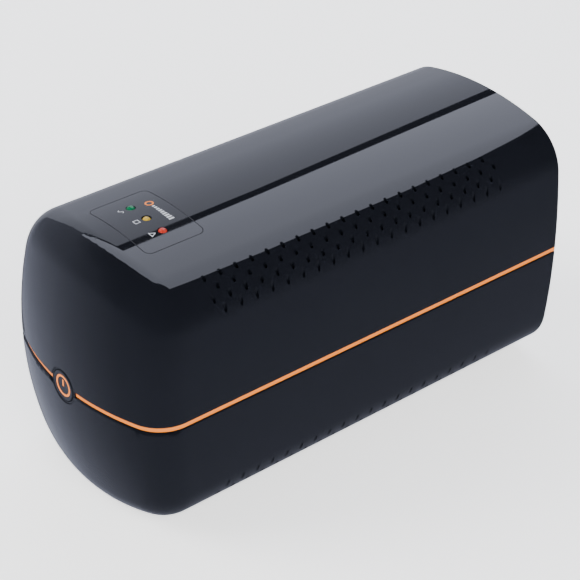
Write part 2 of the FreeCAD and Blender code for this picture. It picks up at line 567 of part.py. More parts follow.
# ---------------------------------------------------------------- bottom shell
def make_bottom_shell():
    lower = ("foot_stand", SEAM_BOTTOM)
    rooted = ("foot_stand + root_inset", TOP)
    hollow = common("bottom_hollow", cavity_form, slab("hollow_slab", (FLOOR, TOP)))
    skin = cut("bottom_skin", common("bottom_solid", outer_form, slab("bottom_slab", lower)), hollow)
    lip_y = (f"{FRONT} - wall", f"{REAR} - lip_rear_gap")
    ledge = ring("ledge", root_form, inner_form, (f"{MID} - lip_drop", SEAM_LEDGE), lip_y)
    whole_lip = ring("lip", lip_form, inner_form, (SEAM_LEDGE, f"{MID} + lip_rise"), lip_y)
    lip = cut("front_open_lip", whole_lip, block(
        "lip_front_gap", ("-cradle_half_width - wall", "cradle_half_width + wall"),
        (f"{FRONT} - wall", f"{CRADLE_Y[1]} + wall"), (SEAM_LEDGE, f"{MID} + 2 * lip_rise")))
    inside = [
        block("bottom_cradle", ("-cradle_half_width", "cradle_half_width"), CRADLE_Y,
              (f"{BUTTON[1]} - cradle_half_width", SEAM_BOTTOM)),
        block("floor_rib_inner", ("-half_width / 2", "half_width / 2"),
              (f"{PANEL_BACK} - groove_rib_front", f"{PANEL_BACK} - panel_fit"),
              ("0", f"{FLOOR} + lip_wall")),
        block("floor_rib_outer", ("-half_width / 2", "half_width / 2"),
              (f"{PANEL_Y} + panel_fit", f"{PANEL_Y} + groove_rib"), ("0", f"{FLOOR} + lip_wall")),
        block("battery_stop", ("-rail_x", "rail_x"),
              (f"{BATTERY_Y} + battery_length", f"{BATTERY_Y} + battery_length + stop_thickness"),
              ("0", f"{FLOOR} + stop_height")),
    ]
    inside += both(block("rail", ("rail_x - rail_width / 2", "rail_x + rail_width / 2"),
                         (BATTERY_Y, f"{CORE_Y} + core_stack"), ("0", BATTERY_Z)))
    inside += both(block("pillar", ("pillar_x - pillar_width / 2", "pillar_x + pillar_width / 2"), PILLAR_Y,
                         ("0", f"{PILLAR_SCREW_Z} + pillar_width")))
    holes = bezel_space("bottom_button")
    holes += both(pilot("pillar_pilot", "y", ("pillar_x", PILLAR_SCREW_Z), SWITCH_BOARD_Y, 1, "board"))
    for index in range(int(measured("gusset_count"))):
        clear_of_strap = "gusset_shift" if index == 1 else "0"
        y = f"({BATTERY_Y} + battery_length * ({index} + 0.5) / gusset_count + {clear_of_strap})"
        side = "battery_width / 2 + battery_fit"
        inside += both(block(f"gusset_{index + 1}", (side, f"{side} + gusset_reach"),
                             (f"{y} - gusset_thickness / 2", f"{y} + gusset_thickness / 2"),
                             ("0", f"{FLOOR} + gusset_height")))
    for place_name, (x, y), radius in CASE_POSTS:
        inside += both(rod(f"bottom_{place_name}_post", "z", (x, y), ("0", POST_JOIN), radius))
        holes += both(rod(f"{place_name}_counterbore", "z", (x, y), ("0", POST_SEAT), "counterbore_radius"))
        holes += both(clearance(f"{place_name}_clearance", "z", (x, y), (POST_SEAT, f"{POST_JOIN} + wall"),
                                "case"))
    inside += both(rod("strap_post", "z", STRAP_POST, ("0", STRAP_SEAT), "strap_post_radius"))
    holes += both(pilot("strap_pilot", "z", STRAP_POST, f"({STRAP_SEAT} + strap_thickness)", -1, "strap"))
    for place_name, y in CLAMP_SCREWS:
        inside += both(rod(f"clamp_{place_name}_boss", "z", (CLAMP_X, y), ("0", CLAMP_SEAT),
                           "clamp_boss_radius"))
        holes += both(pilot(f"clamp_{place_name}_pilot", "z", (CLAMP_X, y), CLAMP_HEAD, -1, "clamp"))
    inside += both(rod("port_boss", "z", ("port_boss_x", PORT_BOSS_Y), ("0", PORT_BOARD_Z),
                       "port_boss_radius"))
    holes += both(pilot("port_pilot", "z", ("port_boss_x", PORT_BOSS_Y), "port_board_height", -1, "board"))
    for place_name, y in FEET:
        holes += both(rod(f"{place_name}_stem_hole", "z", ("foot_spacing / 2", y), ("0", f"{FLOOR} + wall"),
                          "stem_radius"))
    rooted_form = common("rooted_form", root_form, slab("rooted_slab", rooted))
    held = common("bottom_inside", join("bottom_inside_blank", *inside), rooted_form)
    whole = join("bottom_blank", skin, ledge, lip, held,
                 *groove_ribs("bottom_groove", (rooted[0], SEAM_BOTTOM)))
    drilled = cut("bottom_drilled", whole, *holes)
    return cut("bottom_shell", drilled,
               vent_slots("bottom_vents", "foot_stand - base_flat - wall",
                          "foot_stand - base_flat + vent_depth"))


def make_trim_band():
    band = ring("band_ring", band_form, cavity_form, (SEAM_LEDGE, SEAM_TOP))
    return cut("trim_band", band, bezel_space("band_button")[0])


def make_case_screws():
    pieces = []
    for place_name, spot, radius in CASE_POSTS:
        pieces += both(screw(f"{place_name}_case_screw", "z", spot, POST_SEAT, 1, "case"))
    return group("case_screws", *pieces)


def make_feet():
    profile = [("0", "0"), ("foot_radius - foot_chamfer", "0"), ("foot_radius", "foot_chamfer"),
               ("foot_radius", "foot_stand"), ("stem_radius", "foot_stand"),
               ("stem_radius", "foot_stand + wall + stem_rise"), ("0", "foot_stand + wall + stem_rise")]
    pieces = []
    for place_name, y in FEET:
        pieces += both(turned(f"{place_name}_foot", "z", ("foot_spacing / 2", y), "0", profile))
    return group("rubber_feet", *pieces)


# ---------------------------------------------------------------- display film and lamps
def make_display_film():
    room = plate("film_blank", "z", ("-film_half_width + film_gap", "film_half_width - film_gap"),
                 (f"{FRONT} + film_front + film_gap", f"{FRONT} + film_rear - film_gap"),
                 (f"{TOP} - top_crown", f"{TOP} + wall"), "film_corner - film_gap")
    skin = cut("film_skin", common("film_solid", outer_form, room), film_form)
    holes = [rod(f"film_hole_{index + 1}", "z", (f"({index} - 1) * lamp_pitch", LAMP_Y),
                 (f"{TOP} - top_crown", f"{TOP} + wall"),
                 "lamp_radius + lamp_clearance") for index in range(3)]
    return cut("display_film", skin, *holes)


def make_lamp(name, index):
    spot = (f"({index} - 1) * lamp_pitch", LAMP_Y)
    centre = f"({TOP} + lamp_proud - lamp_radius)"
    tip = doc.addObject("Part::Sphere", name + "_tip")
    bind(tip, "Radius", "lamp_radius")
    place(tip, spot[0], spot[1], centre)
    return join(name, tip, rod(name + "_stem", "z", spot, (LAMP_BOARD_TOP, centre), "lamp_radius"),
                rod(name + "_flange", "z", spot, (LAMP_BOARD_TOP, f"{LAMP_BOARD_TOP} + lamp_flange"),
                    "lamp_flange_radius"))


def make_lamp_board():
    z = (f"{LAMP_BOARD_TOP} - board_thickness", LAMP_BOARD_TOP)
    board = block("lamp_board_blank", ("-lamp_board_half_width", "lamp_board_half_width"),
                  (f"{LAMP_Y} - lamp_board_half_depth", f"{LAMP_Y} + lamp_board_half_depth"), z)
    holes = both(clearance("lamp_board_hole", "z", ("lamp_boss_x", LAMP_Y), z, "board"))
    return cut("lamp_board", board, *holes)


def make_lamp_board_screws():
    seat = f"({LAMP_BOARD_TOP} - board_thickness)"
    pieces = both(screw("lamp_board_screw", "z", ("lamp_boss_x", LAMP_Y), seat, 1, "board"))
    return group("lamp_board_screws", *pieces)


# ---------------------------------------------------------------- power button
CAP_Y = f"({FRONT} + cap_setback)"
BEZEL_Y = f"({FRONT} + bezel_setback)"
BEZEL_END = f"({BEZEL_Y} + bezel_length)"
CAP_FLANGE = "(bezel_setback + bezel_length + cap_flange_gap - cap_setback)"
CAP_END = f"({CAP_FLANGE} + cap_flange)"


def make_bezel():
    seat = "bezel_seat - bezel_setback"
    return turned("button_bezel", "y", BUTTON, BEZEL_Y, [
        ("bezel_bore", "0"), ("bezel_radius", "0"), ("bezel_radius", seat), ("bezel_flange_radius", seat),
        ("bezel_flange_radius", f"{seat} + bezel_flange"), ("bezel_radius", f"{seat} + bezel_flange"),
        ("bezel_radius", "bezel_length"), ("bezel_bore", "bezel_length")])


def make_button_cap():
    return turned("power_button", "y", BUTTON, CAP_Y, [
        ("0", "0"), ("ring_inner", "0"), ("ring_inner", "ring_depth"), ("ring_outer", "ring_depth"),
        ("ring_outer", "0"), ("cap_radius - cap_edge", "0"), ("cap_radius", "cap_edge"),
        ("cap_radius", CAP_FLANGE), ("cap_flange_radius", CAP_FLANGE), ("cap_flange_radius", CAP_END),
        ("cap_hollow_radius", CAP_END), ("cap_hollow_radius", "cap_face"), ("cap_boss_radius", "cap_face"),
        ("cap_boss_radius", "cap_face + cap_boss"), ("plunger_radius", "cap_face + cap_boss"),
        ("plunger_radius", "cap_face"), ("0", "cap_face")])


def make_button_ring():
    return turned("button_ring", "y", BUTTON, CAP_Y, [
        ("ring_inner", "0"), ("ring_outer", "0"), ("ring_outer", "ring_depth"), ("ring_inner", "ring_depth")])


def make_plunger():
    start = f"({CAP_Y} + cap_face)"
    return rod("switch_plunger", "y", BUTTON, (start, f"{start} + plunger_length"), "plunger_radius")


def make_spring():
    """A coil between the cap's flange and the switch board: half rings that lean one way and the other."""
    start, end = f"({CAP_Y} + {CAP_END} + spring_wire / 2)", f"({SWITCH_BOARD_Y} - spring_wire / 2)"
    rise = f"(({end} - {start}) / (2 * spring_turns))"
    lean = App.Rotation(V(0, 1, 0), math.degrees(math.atan2(measured(rise), measured("2 * spring_radius"))))
    halves = []
    for index in range(int(measured("2 * spring_turns"))):
        half = doc.addObject("Part::Torus", f"spring_half_{index + 1}")
        bind(half, "Radius1", f"sqrt(spring_radius^2 + ({rise} / 2)^2)")
        bind(half, "Radius2", "spring_wire / 2")
        half.Angle3 = 180
        spin = App.Rotation(V(0, 0, 1), 180 * (index % 2))
        half.Placement = App.Placement(V(), TURN["y"].multiply(spin).multiply(lean))
        halves.append(place(half, BUTTON[0], f"{start} + ({index} + 0.5) * {rise}", BUTTON[1]))
    return join("button_spring", *halves)


def make_switch_body():
    x = ("-switch_half", "switch_half")
    z = (f"{BUTTON[1]} - switch_half", f"{BUTTON[1]} + switch_half")
    base = block("switch_blank", x, (f"{SWITCH_BOARD_Y} - switch_depth", SWITCH_BOARD_Y), z)
    start = f"{SWITCH_BOARD_Y} - switch_depth"
    return cut("switch_body", base, rod("switch_bore", "y", BUTTON, (start, f"{start} + switch_bore_depth"),
                                        "plunger_radius + plunger_fit"))


def make_switch_board():
    y = (SWITCH_BOARD_Y, f"{SWITCH_BOARD_Y} + board_thickness")
    board = block("switch_board_blank", ("-switch_board_half_width", "switch_board_half_width"), y,
                  (f"{MID} - switch_board_drop", f"{MID} + switch_board_rise"))
    holes = both(clearance("switch_board_hole", "y", ("pillar_x", PILLAR_SCREW_Z), y, "board"))
    return cut("switch_board", board, *holes)


def make_switch_board_screws():
    return group("switch_board_screws", *both(screw(
        "switch_board_screw", "y", ("pillar_x", PILLAR_SCREW_Z), SWITCH_BOARD_Y, 1, "board")))


# ---------------------------------------------------------------- battery
LID_Z = f"({BATTERY_TOP} - battery_lid)"
TERMINAL_Y = f"({BATTERY_Y} + battery_length - terminal_rear)"


def make_battery_case():
    return plate("battery_case", "z", ("-battery_width / 2", "battery_width / 2"),
                 (BATTERY_Y, f"{BATTERY_Y} + battery_length"), (BATTERY_Z, LID_Z), "battery_corner")


def make_battery_lid():
    half = "battery_width / 2 - battery_lid_inset"
    return plate("battery_lid", "z", (f"-({half})", half), (
        f"{BATTERY_Y} + battery_lid_inset", f"{BATTERY_Y} + battery_length - battery_lid_inset"),
        (LID_Z, BATTERY_TOP), "battery_corner")


def make_terminals():
    return group("battery_terminals", *both(block(
        "terminal", ("terminal_x - terminal_thickness / 2", "terminal_x + terminal_thickness / 2"),
        (f"{TERMINAL_Y} - terminal_width / 2", f"{TERMINAL_Y} + terminal_width / 2"),
        (BATTERY_TOP, f"{BATTERY_TOP} + terminal_height"))))


def make_battery_strap():
    y = (f"{STRAP_POST[1]} - strap_width / 2", f"{STRAP_POST[1]} + strap_width / 2")
    side = "battery_width / 2 + battery_fit"
    top = (BATTERY_TOP, f"{BATTERY_TOP} + strap_thickness")
    outside = f"({side} + strap_thickness)"
    bridge = block("strap_bridge", (f"-{outside}", outside), y, top)
    legs = both(block("strap_leg", (side, outside), y, (STRAP_SEAT, top[1])))
    feet = both(block("strap_foot", (side, f"{STRAP_POST[0]} + strap_post_radius"), y,
                      (STRAP_SEAT, f"{STRAP_SEAT} + strap_thickness")))
    holes = both(clearance("strap_hole", "z", STRAP_POST, (f"{STRAP_SEAT} - wall", f"{STRAP_SEAT} + wall"),
                           "strap"))
    return cut("battery_strap", join("strap_blank", bridge, *legs, *feet), *holes)


def make_strap_screws():
    seat = f"({STRAP_SEAT} + strap_thickness)"
    return group("strap_screws", *both(screw("strap_screw", "z", STRAP_POST, seat, -1, "strap")))


def make_battery_connectors(terminals):
    z = (f"{BATTERY_TOP} + terminal_thickness / 2", f"{BATTERY_TOP} + connector_height")
    body = block("connector",
                 ("terminal_x - connector_thickness / 2", "terminal_x + connector_thickness / 2"),
                 (f"{TERMINAL_Y} - connector_width / 2", f"{TERMINAL_Y} + connector_width / 2"), z)
    return cut("battery_connectors", group("connector_pair", *both(body)), terminals)


def make_lead(name, x):
    """A battery lead: out of its connector, one bend, and up into the main board."""
    start = f"({TERMINAL_Y} + connector_width / 2)"
    height = f"({BATTERY_TOP} + lead_rise)"
    bend = doc.addObject("Part::Torus", name + "_bend")
    bind(bend, "Radius1", "lead_bend")
    bind(bend, "Radius2", "lead_radius")
    bend.Angle3 = 90
    bend.Placement = App.Placement(V(), App.Rotation(V(0, 0, -1), V(0, 1, 0), V(1, 0, 0), "ZXY"))
    place(bend, x, f"{start} + lead_run", f"{height} + lead_bend")
    run = rod(name + "_run", "y", (x, height), (start, f"{start} + lead_run"), "lead_radius")
    rise = rod(name + "_rise", "z", (x, f"{start} + lead_run + lead_bend"),
               (f"{height} + lead_bend", BOARD_Z), "lead_radius")
    return join(name, run, bend, rise)


# ---------------------------------------------------------------- transformer
CORE_X = ("-core_width / 2", "core_width / 2")
CORE_YS = (CORE_Y, f"{CORE_Y} + core_stack")
WINDOW_Z = (f"({BATTERY_Z} + core_leg)", f"({CORE_TOP} - core_leg)")
WINDOW_X = "(core_width / 2 - core_leg)"
COIL_YS = (f"({CORE_Y} - coil_overhang)", f"({CORE_Y} + core_stack + coil_overhang)")


def make_core():
    """Stacked laminations with a window either side of the middle leg."""
    return cut("transformer_core", block("core_blank", CORE_X, CORE_YS, (BATTERY_Z, CORE_TOP)),
               *both(block("core_window", ("core_leg", WINDOW_X), CORE_YS, WINDOW_Z)))


def make_bobbin():
    tube = block("bobbin_tube", ("-core_leg - bobbin_wall", "core_leg + bobbin_wall"),
                 (f"{CORE_Y} - bobbin_wall", f"{CORE_Y} + core_stack + bobbin_wall"), WINDOW_Z)
    wide = (f"-{WINDOW_X}", WINDOW_X)
    flanges = [block("bobbin_foot", wide, COIL_YS, (WINDOW_Z[0], f"{WINDOW_Z[0]} + bobbin_flange")),
               block("bobbin_head", wide, COIL_YS, (f"{WINDOW_Z[1]} - bobbin_flange", WINDOW_Z[1]))]
    leg = block("bobbin_opening", ("-core_leg", "core_leg"), CORE_YS, WINDOW_Z)
    return cut("transformer_bobbin", join("bobbin_blank", tube, *flanges), leg)


def make_winding():
    reach = f"({WINDOW_X} - coil_inset)"
    coil = plate("winding_blank", "z", (f"-{reach}", reach),
                 (f"{COIL_YS[0]} + coil_inset", f"{COIL_YS[1]} - coil_inset"),
                 (f"{WINDOW_Z[0]} + bobbin_flange", f"{WINDOW_Z[1]} - bobbin_flange"), "coil_overhang / 2")
    tube = block("winding_opening", ("-core_leg - bobbin_wall", "core_leg + bobbin_wall"),
                 (f"{CORE_Y} - bobbin_wall", f"{CORE_Y} + core_stack + bobbin_wall"), WINDOW_Z)
    return cut("transformer_winding", coil, tube)


def make_clamp():
    """The steel band over the core, with a foot either side."""
    y = (f"{CLAMP_MID} - clamp_width / 2", f"{CLAMP_MID} + clamp_width / 2")
    outside = "(core_width / 2 + clamp_thickness)"
    top = f"({CORE_TOP} + clamp_thickness)"
    pieces = [block("clamp_bridge", (f"-{outside}", outside), y, (CORE_TOP, top))]
    pieces += both(block("clamp_leg", ("core_width / 2", outside), y, (CLAMP_SEAT, top)))
    pieces += both(block("clamp_foot", ("core_width / 2", "core_width / 2 + clamp_foot_reach"),
                         (f"{CLAMP_MID} - clamp_foot_width / 2", f"{CLAMP_MID} + clamp_foot_width / 2"),
                         (CLAMP_SEAT, f"{CLAMP_SEAT} + clamp_thickness")))
    holes = []
    for place_name, screw_y in CLAMP_SCREWS:
        holes += both(clearance(f"clamp_{place_name}_hole", "z", (CLAMP_X, screw_y),
                                (f"{CLAMP_SEAT} - wall", f"{CLAMP_SEAT} + wall"), "clamp"))
    return cut("transformer_clamp", join("clamp_blank", *pieces), *holes)


def make_clamp_screws():
    pieces = []
    for place_name, y in CLAMP_SCREWS:
        pieces += both(screw(f"clamp_{place_name}_screw", "z", (CLAMP_X, y), CLAMP_HEAD, -1, "clamp"))
    return group("transformer_screws", *pieces)


# ---------------------------------------------------------------- main board
SINK_X = ("(-sink_x)", "(-sink_x + sink_plate)")
SINK_Y = f"({BOARD_Y[0]} + sink_setback)"
BEHIND_SINK = f"({SINK_Y} + sink_length)"
FUSE_Y = f"({BEHIND_SINK} + fuse_gap)"


def make_main_board():
    z = (BOARD_Z, BOARD_TOP)
    board = block("main_board_blank", ("-board_half_width", "board_half_width"), BOARD_Y, z)
    holes = []
    for place_name, y in BOARD_POSTS:
        holes += both(clearance(f"board_{place_name}_hole", "z", (BOARD_POST_X, y), z, "board"))
    return cut("main_board", board, *holes)


def make_board_screws():
    pieces = []
    for place_name, y in BOARD_POSTS:
        pieces += both(screw(f"board_{place_name}_screw", "z", (BOARD_POST_X, y), BOARD_Z, 1, "board"))
    return group("board_screws", *pieces)


def make_heat_sink():
    z = (BOARD_TOP, f"{BOARD_TOP} + sink_height")
    pieces = [block("sink_back", SINK_X, (SINK_Y, f"{SINK_Y} + sink_length"), z)]
    for index in range(int(measured("fin_count"))):
        y = f"({SINK_Y} + {index} * (sink_length - fin_thickness) / (fin_count - 1))"
        pieces.append(block(f"fin_{index + 1}", (f"{SINK_X[0]} - fin_length", SINK_X[0]),
                            (y, f"{y} + fin_thickness"), z))
    return join("heat_sink", *pieces)


def make_transistors():
    pieces = []
    for index in range(int(measured("transistor_count"))):
        y = f"({SINK_Y} + {index} * transistor_pitch)"
        pieces.append(block(f"transistor_{index + 1}", (SINK_X[1], f"{SINK_X[1]} + transistor_thickness"),
                            (y, f"{y} + transistor_width"), (BOARD_TOP, f"{BOARD_TOP} + transistor_height")))
    return group("power_transistors", *pieces)


def make_relays():
    pieces = []
    for index in range(int(measured("relay_count"))):
        y = f"({SINK_Y} + {index} * relay_pitch)"
        pieces.append(plate(f"relay_{index + 1}", "z", ("relay_x", "relay_x + relay_width"),
                            (y, f"{y} + relay_length"), (BOARD_TOP, f"{BOARD_TOP} + relay_height"),
                            "relay_corner"))
    return group("relays", *pieces)


def make_capacitors():
    pieces = []
    for index in range(int(measured("capacitor_count"))):
        y = f"({SINK_Y} + relay_count * relay_pitch + capacitor_radius + {index} * capacitor_pitch)"
        pieces.append(turned(f"capacitor_{index + 1}", "z", ("capacitor_x", y), BOARD_TOP, [
            ("0", "0"), ("capacitor_radius", "0"),
            ("capacitor_radius", "capacitor_height - capacitor_chamfer"),
            ("capacitor_radius - capacitor_chamfer", "capacitor_height"), ("0", "capacitor_height")]))
    return group("capacitors", *pieces)


def make_chip():
    y = f"{BEHIND_SINK} + chip_gap"
    return block("control_chip", ("-chip_x", "-chip_x + chip_side"), (y, f"{y} + chip_side"),
                 (BOARD_TOP, f"{BOARD_TOP} + chip_thickness"))


def make_buzzer():
    floor = "buzzer_height - buzzer_hole_depth"
    return turned("buzzer", "z", ("-buzzer_x", f"{BEHIND_SINK} + buzzer_gap"), BOARD_TOP, [
        ("0", "0"), ("buzzer_radius", "0"), ("buzzer_radius", "buzzer_height"),
        ("buzzer_hole", "buzzer_height"), ("buzzer_hole", floor), ("0", floor)])


def make_fuse():
    return rod("fuse", "y", ("0", f"{BOARD_TOP} + fuse_axis"), (FUSE_Y, f"{FUSE_Y} + fuse_length"),
               "fuse_radius")


def make_fuse_clips(fuse):
    pieces = []
    for index in range(2):
        start = f"({FUSE_Y} + {index} * (fuse_length - clip_length))"
        pieces.append(block(f"fuse_clip_{index + 1}",
                            ("-fuse_radius - clip_thickness", "fuse_radius + clip_thickness"),
                            (start, f"{start} + clip_length"),
                            (BOARD_TOP, f"{BOARD_TOP} + fuse_axis + clip_rise")))
    return cut("fuse_clips", group("fuse_clip_pair", *pieces), fuse)


def make_headers():
    pieces = []
    edge = "-board_half_width + header_inset"
    for index in range(int(measured("header_count"))):
        y = f"({BOARD_Y[0]} + header_setback + {index} * header_pitch)"
        pieces.append(block(f"header_{index + 1}", (edge, f"{edge} + header_width"),
                            (y, f"{y} + header_length"), (BOARD_TOP, f"{BOARD_TOP} + header_height")))
    return group("board_headers", *pieces)


# ---------------------------------------------------------------- rear panel and its fittings
FLANGE_Y = f"({PANEL_Y} + outlet_flange)"
WELL_END = f"({FLANGE_Y} - well_depth)"
CHAMBER_TOP = f"({WELL_END} - well_floor)"
CHAMBER_END = f"({CHAMBER_TOP} - chamber_depth)"
PORT_FACE = f"({PANEL_Y} + port_proud)"
INLET = ("(-inlet_x)", "inlet_height")
BREAKER = ("breaker_x", "breaker_height")
OUTLETS = (("left", "(-outlet_x)"), ("right", "(outlet_x)"))


def span(middle, width):
    return (f"({middle}) - ({width}) / 2", f"({middle}) + ({width}) / 2")


def make_rear_panel():
    through = (f"{PANEL_BACK} - wall", f"{PANEL_Y} + wall")
    panel = common("panel_blank", lip_form, slab("panel_slab", (f"{FLOOR} + lip_clearance", f"{TOP} + wall"),
                                                 (PANEL_BACK, PANEL_Y)))
    holes = [rod(f"{side}_outlet_hole", "y", (x, "outlet_height"), through, "outlet_radius + outlet_fit")
             for side, x in OUTLETS]
    holes.append(rod("breaker_hole", "y", BREAKER, through, "neck_radius + neck_fit"))
    holes.append(block("inlet_hole", span(INLET[0], "inlet_width + 2 * outlet_fit"), through,
                       span(INLET[1], "inlet_body_height + 2 * outlet_fit")))
    holes.append(block("data_hole", span("-data_x", "data_width + 2 * outlet_fit"), through,
                       ("port_board_height - outlet_fit", "port_board_height + data_height + outlet_fit")))
    holes.append(block("usb_hole", span("usb_x", "usb_width + 2 * outlet_fit"), through,
                       ("port_board_height - outlet_fit", "port_board_height + usb_height + outlet_fit")))
    return cut("rear_panel", panel, *holes)


def make_outlet(side, x):
    """A round earthed socket: flange, well with two guide ribs, and a chamber behind its floor."""
    name = side + "_outlet"
    centre = (x, "outlet_height")
    shell = turned(name + "_shell", "y", centre, CHAMBER_END, [
        ("0", "chamber_depth"), ("chamber_radius", "chamber_depth"), ("chamber_radius", "0"),
        ("outlet_radius", "0"),
        ("outlet_radius", f"{PANEL_Y} - {CHAMBER_END}"),
        ("outlet_flange_radius", f"{PANEL_Y} - {CHAMBER_END}"),
        ("outlet_flange_radius", f"{FLANGE_Y} - {CHAMBER_END}"),
        ("well_radius", f"{FLANGE_Y} - {CHAMBER_END}"),
        ("well_radius", f"{WELL_END} - {CHAMBER_END}"), ("0", f"{WELL_END} - {CHAMBER_END}")])
    guides = []
    holes = []
    floor = (f"{CHAMBER_TOP} - wall", f"{WELL_END} + wall")
    for turn, sign in (("low", "-1"), ("high", "1")):
        guides.append(block(f"{name}_{turn}_guide",
                            span(f"{x} + {sign} * (well_radius - guide_depth / 2)",
                                 "guide_depth + guide_root"),
                            (f"{WELL_END} - guide_root", PANEL_Y), span("outlet_height", "guide_width")))
        holes.append(rod(f"{name}_{turn}_contact_hole", "y", (f"{x} + {sign} * contact_x", "outlet_height"),
                         floor, "contact_hole_radius"))
        holes.append(block(f"{name}_{turn}_earth_slot", span(x, "earth_width + 2 * outlet_fit"), floor,
                           span(f"outlet_height + {sign} * (earth_height + earth_thickness / 2)",
                                "earth_thickness + 2 * outlet_fit")))
    return cut(name, join(name + "_blank", shell, *guides), *holes)


def contact_tab(name, x, extra):
    return block(name, span(x, f"tab_width + 2 * {extra}"),
                 (f"{CHAMBER_END} - tab_length", f"{CHAMBER_END} + {extra}"),
                 span("outlet_height", f"tab_thickness + 2 * {extra}"))


def make_outlet_covers():
    """The back of each socket, with the rails that guide its shutter."""
    pieces = []
    for side, x in OUTLETS:
        name = side + "_cover"
        disc = rod(name + "_disc", "y", (x, "outlet_height"),
                   (f"{CHAMBER_END} - cover_thickness", CHAMBER_END), "outlet_radius")
        root = f"{CHAMBER_END} - cover_root"
        ledge_y = (root, f"{CHAMBER_TOP} - 1.5 * shutter_play - shutter_thickness")
        rails = []
        slots = []
        for turn, sign in (("low", "-1"), ("high", "1")):
            middle = f"outlet_height + {sign} * (shutter_half_height + shutter_play + rail_wall / 2)"
            rails.append(block(f"{name}_{turn}_rail", span(x, "3 * contact_x"), (root, CHAMBER_TOP),
                               span(middle, "rail_wall")))
            rails.append(block(f"{name}_{turn}_ledge", span(x, "contact_x"), ledge_y,
                               span(f"outlet_height + {sign} * ledge_offset", "ledge_height")))
            slots.append(contact_tab(f"{name}_{turn}_slot", f"{x} + {sign} * contact_x", "outlet_fit"))
        pieces.append(cut(name, join(name + "_blank", disc, *rails), *slots))
    return group("outlet_covers", *pieces)


def make_outlet_contacts():
    """Brass sleeves behind the two holes of each socket, with their solder tabs."""
    pieces = []
    for side, x in OUTLETS:
        for turn, sign in (("low", "-1"), ("high", "1")):
            name = f"{side}_{turn}_contact"
            at = f"{x} + {sign} * contact_x"
            sleeve = turned(name + "_sleeve", "y", (at, "outlet_height"), CHAMBER_END, [
                ("0", "0"), ("contact_outer", "0"), ("contact_outer", "contact_length"),
                ("contact_inner", "contact_length"), ("contact_inner", "contact_floor"),
                ("0", "contact_floor")])
            pieces.append(join(name, sleeve, contact_tab(name + "_tab", at, "0")))
    return group("outlet_contacts", *pieces)


def make_earth_clips():
    pieces = []
    for side, x in OUTLETS:
        for turn, sign in (("low", "-1"), ("high", "1")):
            pieces.append(block(f"{side}_{turn}_earth", span(x, "earth_width"),
                                (CHAMBER_END, f"{FLANGE_Y} - earth_setback"),
                                span(f"outlet_height + {sign} * (earth_height + earth_thickness / 2)",
                                     "earth_thickness")))
    return group("earth_clips", *pieces)


def make_shutter(side, x):
    name = side + "_shutter"
    y = (f"{CHAMBER_TOP} - shutter_play - shutter_thickness", f"{CHAMBER_TOP} - shutter_play")
    slide = block(name + "_blank", (f"{x} - shutter_left", f"{x} + shutter_right"), y,
                  span("outlet_height", "2 * shutter_half_height"))
    return cut(name, slide, rod(name + "_window", "y", (f"{x} + shutter_window", "outlet_height"), y,
                                "contact_hole_radius + shutter_play"))


def make_inlet():
    """The recessed mains inlet, with the two lower corners of its recess cut off."""
    flange = plate("inlet_flange_plate", "y", span(INLET[0], "inlet_flange_width"),
                   (PANEL_Y, f"{PANEL_Y} + inlet_flange"), span(INLET[1], "inlet_flange_height"),
                   "inlet_flange_corner")
    body = block("inlet_body", span(INLET[0], "inlet_width"), (f"{PANEL_Y} - inlet_depth", PANEL_Y),
                 span(INLET[1], "inlet_body_height"))
    face = f"({PANEL_Y} + inlet_flange)"
    recess = body_at("inlet_recess", "y", INLET[0], f"{face} - inlet_recess_depth", INLET[1])
    sketch = sketch_on(recess, "XY_Plane", "inlet_recess_outline")
    half, tall = "inlet_recess_width / 2", "inlet_recess_height / 2"
    outline(sketch, [(f"-({half})", f"-({tall})"), (half, f"-({tall})"), (half, f"{tall} - inlet_corner"),
                     (f"{half} - inlet_corner", tall), (f"-({half} - inlet_corner)", tall),
                     (f"-({half})", f"{tall} - inlet_corner")])
    pad = recess.newObject("PartDesign::Pad", "inlet_recess_pad")
    pad.Profile = sketch
    bind(pad, "Length", "inlet_recess_depth + wall")
    pins = make_pins("inlet_pin_slot", group)
    return cut("mains_inlet", join("inlet_blank", flange, body), recess, pins)


def make_pins(name, gather):
    """Three flat pins through the floor of the inlet, the middle one set higher."""
    y = (f"{PANEL_Y} - inlet_depth - pin_tail", f"{PANEL_Y} + inlet_flange - pin_setback")
    pieces = []
    for index, rise in enumerate(("0", "pin_rise", "0")):
        x = f"{INLET[0]} + ({index} - 1) * pin_pitch"
        pieces.append(block(f"{name}_{index + 1}", span(x, "pin_width"), y,
                            span(f"{INLET[1]} - pin_rise / 2 + 2 * {rise}", "pin_height")))
    return gather(name + "s", *pieces)


def make_breaker():
    body = block("breaker_blank", span(BREAKER[0], "breaker_width"),
                 (f"{PANEL_BACK} - breaker_depth", PANEL_BACK),
                 span(BREAKER[1], "breaker_body_height"))
    neck = rod("breaker_neck", "y", BREAKER, (PANEL_BACK, f"{PANEL_BACK} + neck_length"), "neck_radius")
    bore = rod("breaker_bore", "y", BREAKER,
               (f"{PANEL_BACK} - reset_inside - breaker_floor", f"{PANEL_BACK} + neck_length"), "reset_bore")
    return cut("breaker_body", join("breaker_whole", body, neck), bore)


def make_breaker_nut():
    y = (PANEL_Y, f"{PANEL_Y} + nut_thickness")
    return cut("breaker_nut", hexagon("nut_blank", "y", BREAKER, y, "nut_radius"),
               rod("nut_bore", "y", BREAKER, y, "neck_radius"))


def make_reset_button():
    length = "reset_inside + neck_length + reset_proud"
    return turned("reset_button", "y", BREAKER, f"{PANEL_BACK} - reset_inside", [
        ("0", "0"), ("reset_radius", "0"), ("reset_radius", f"{length} - reset_chamfer"),
        ("reset_radius - reset_chamfer", length), ("0", length)])


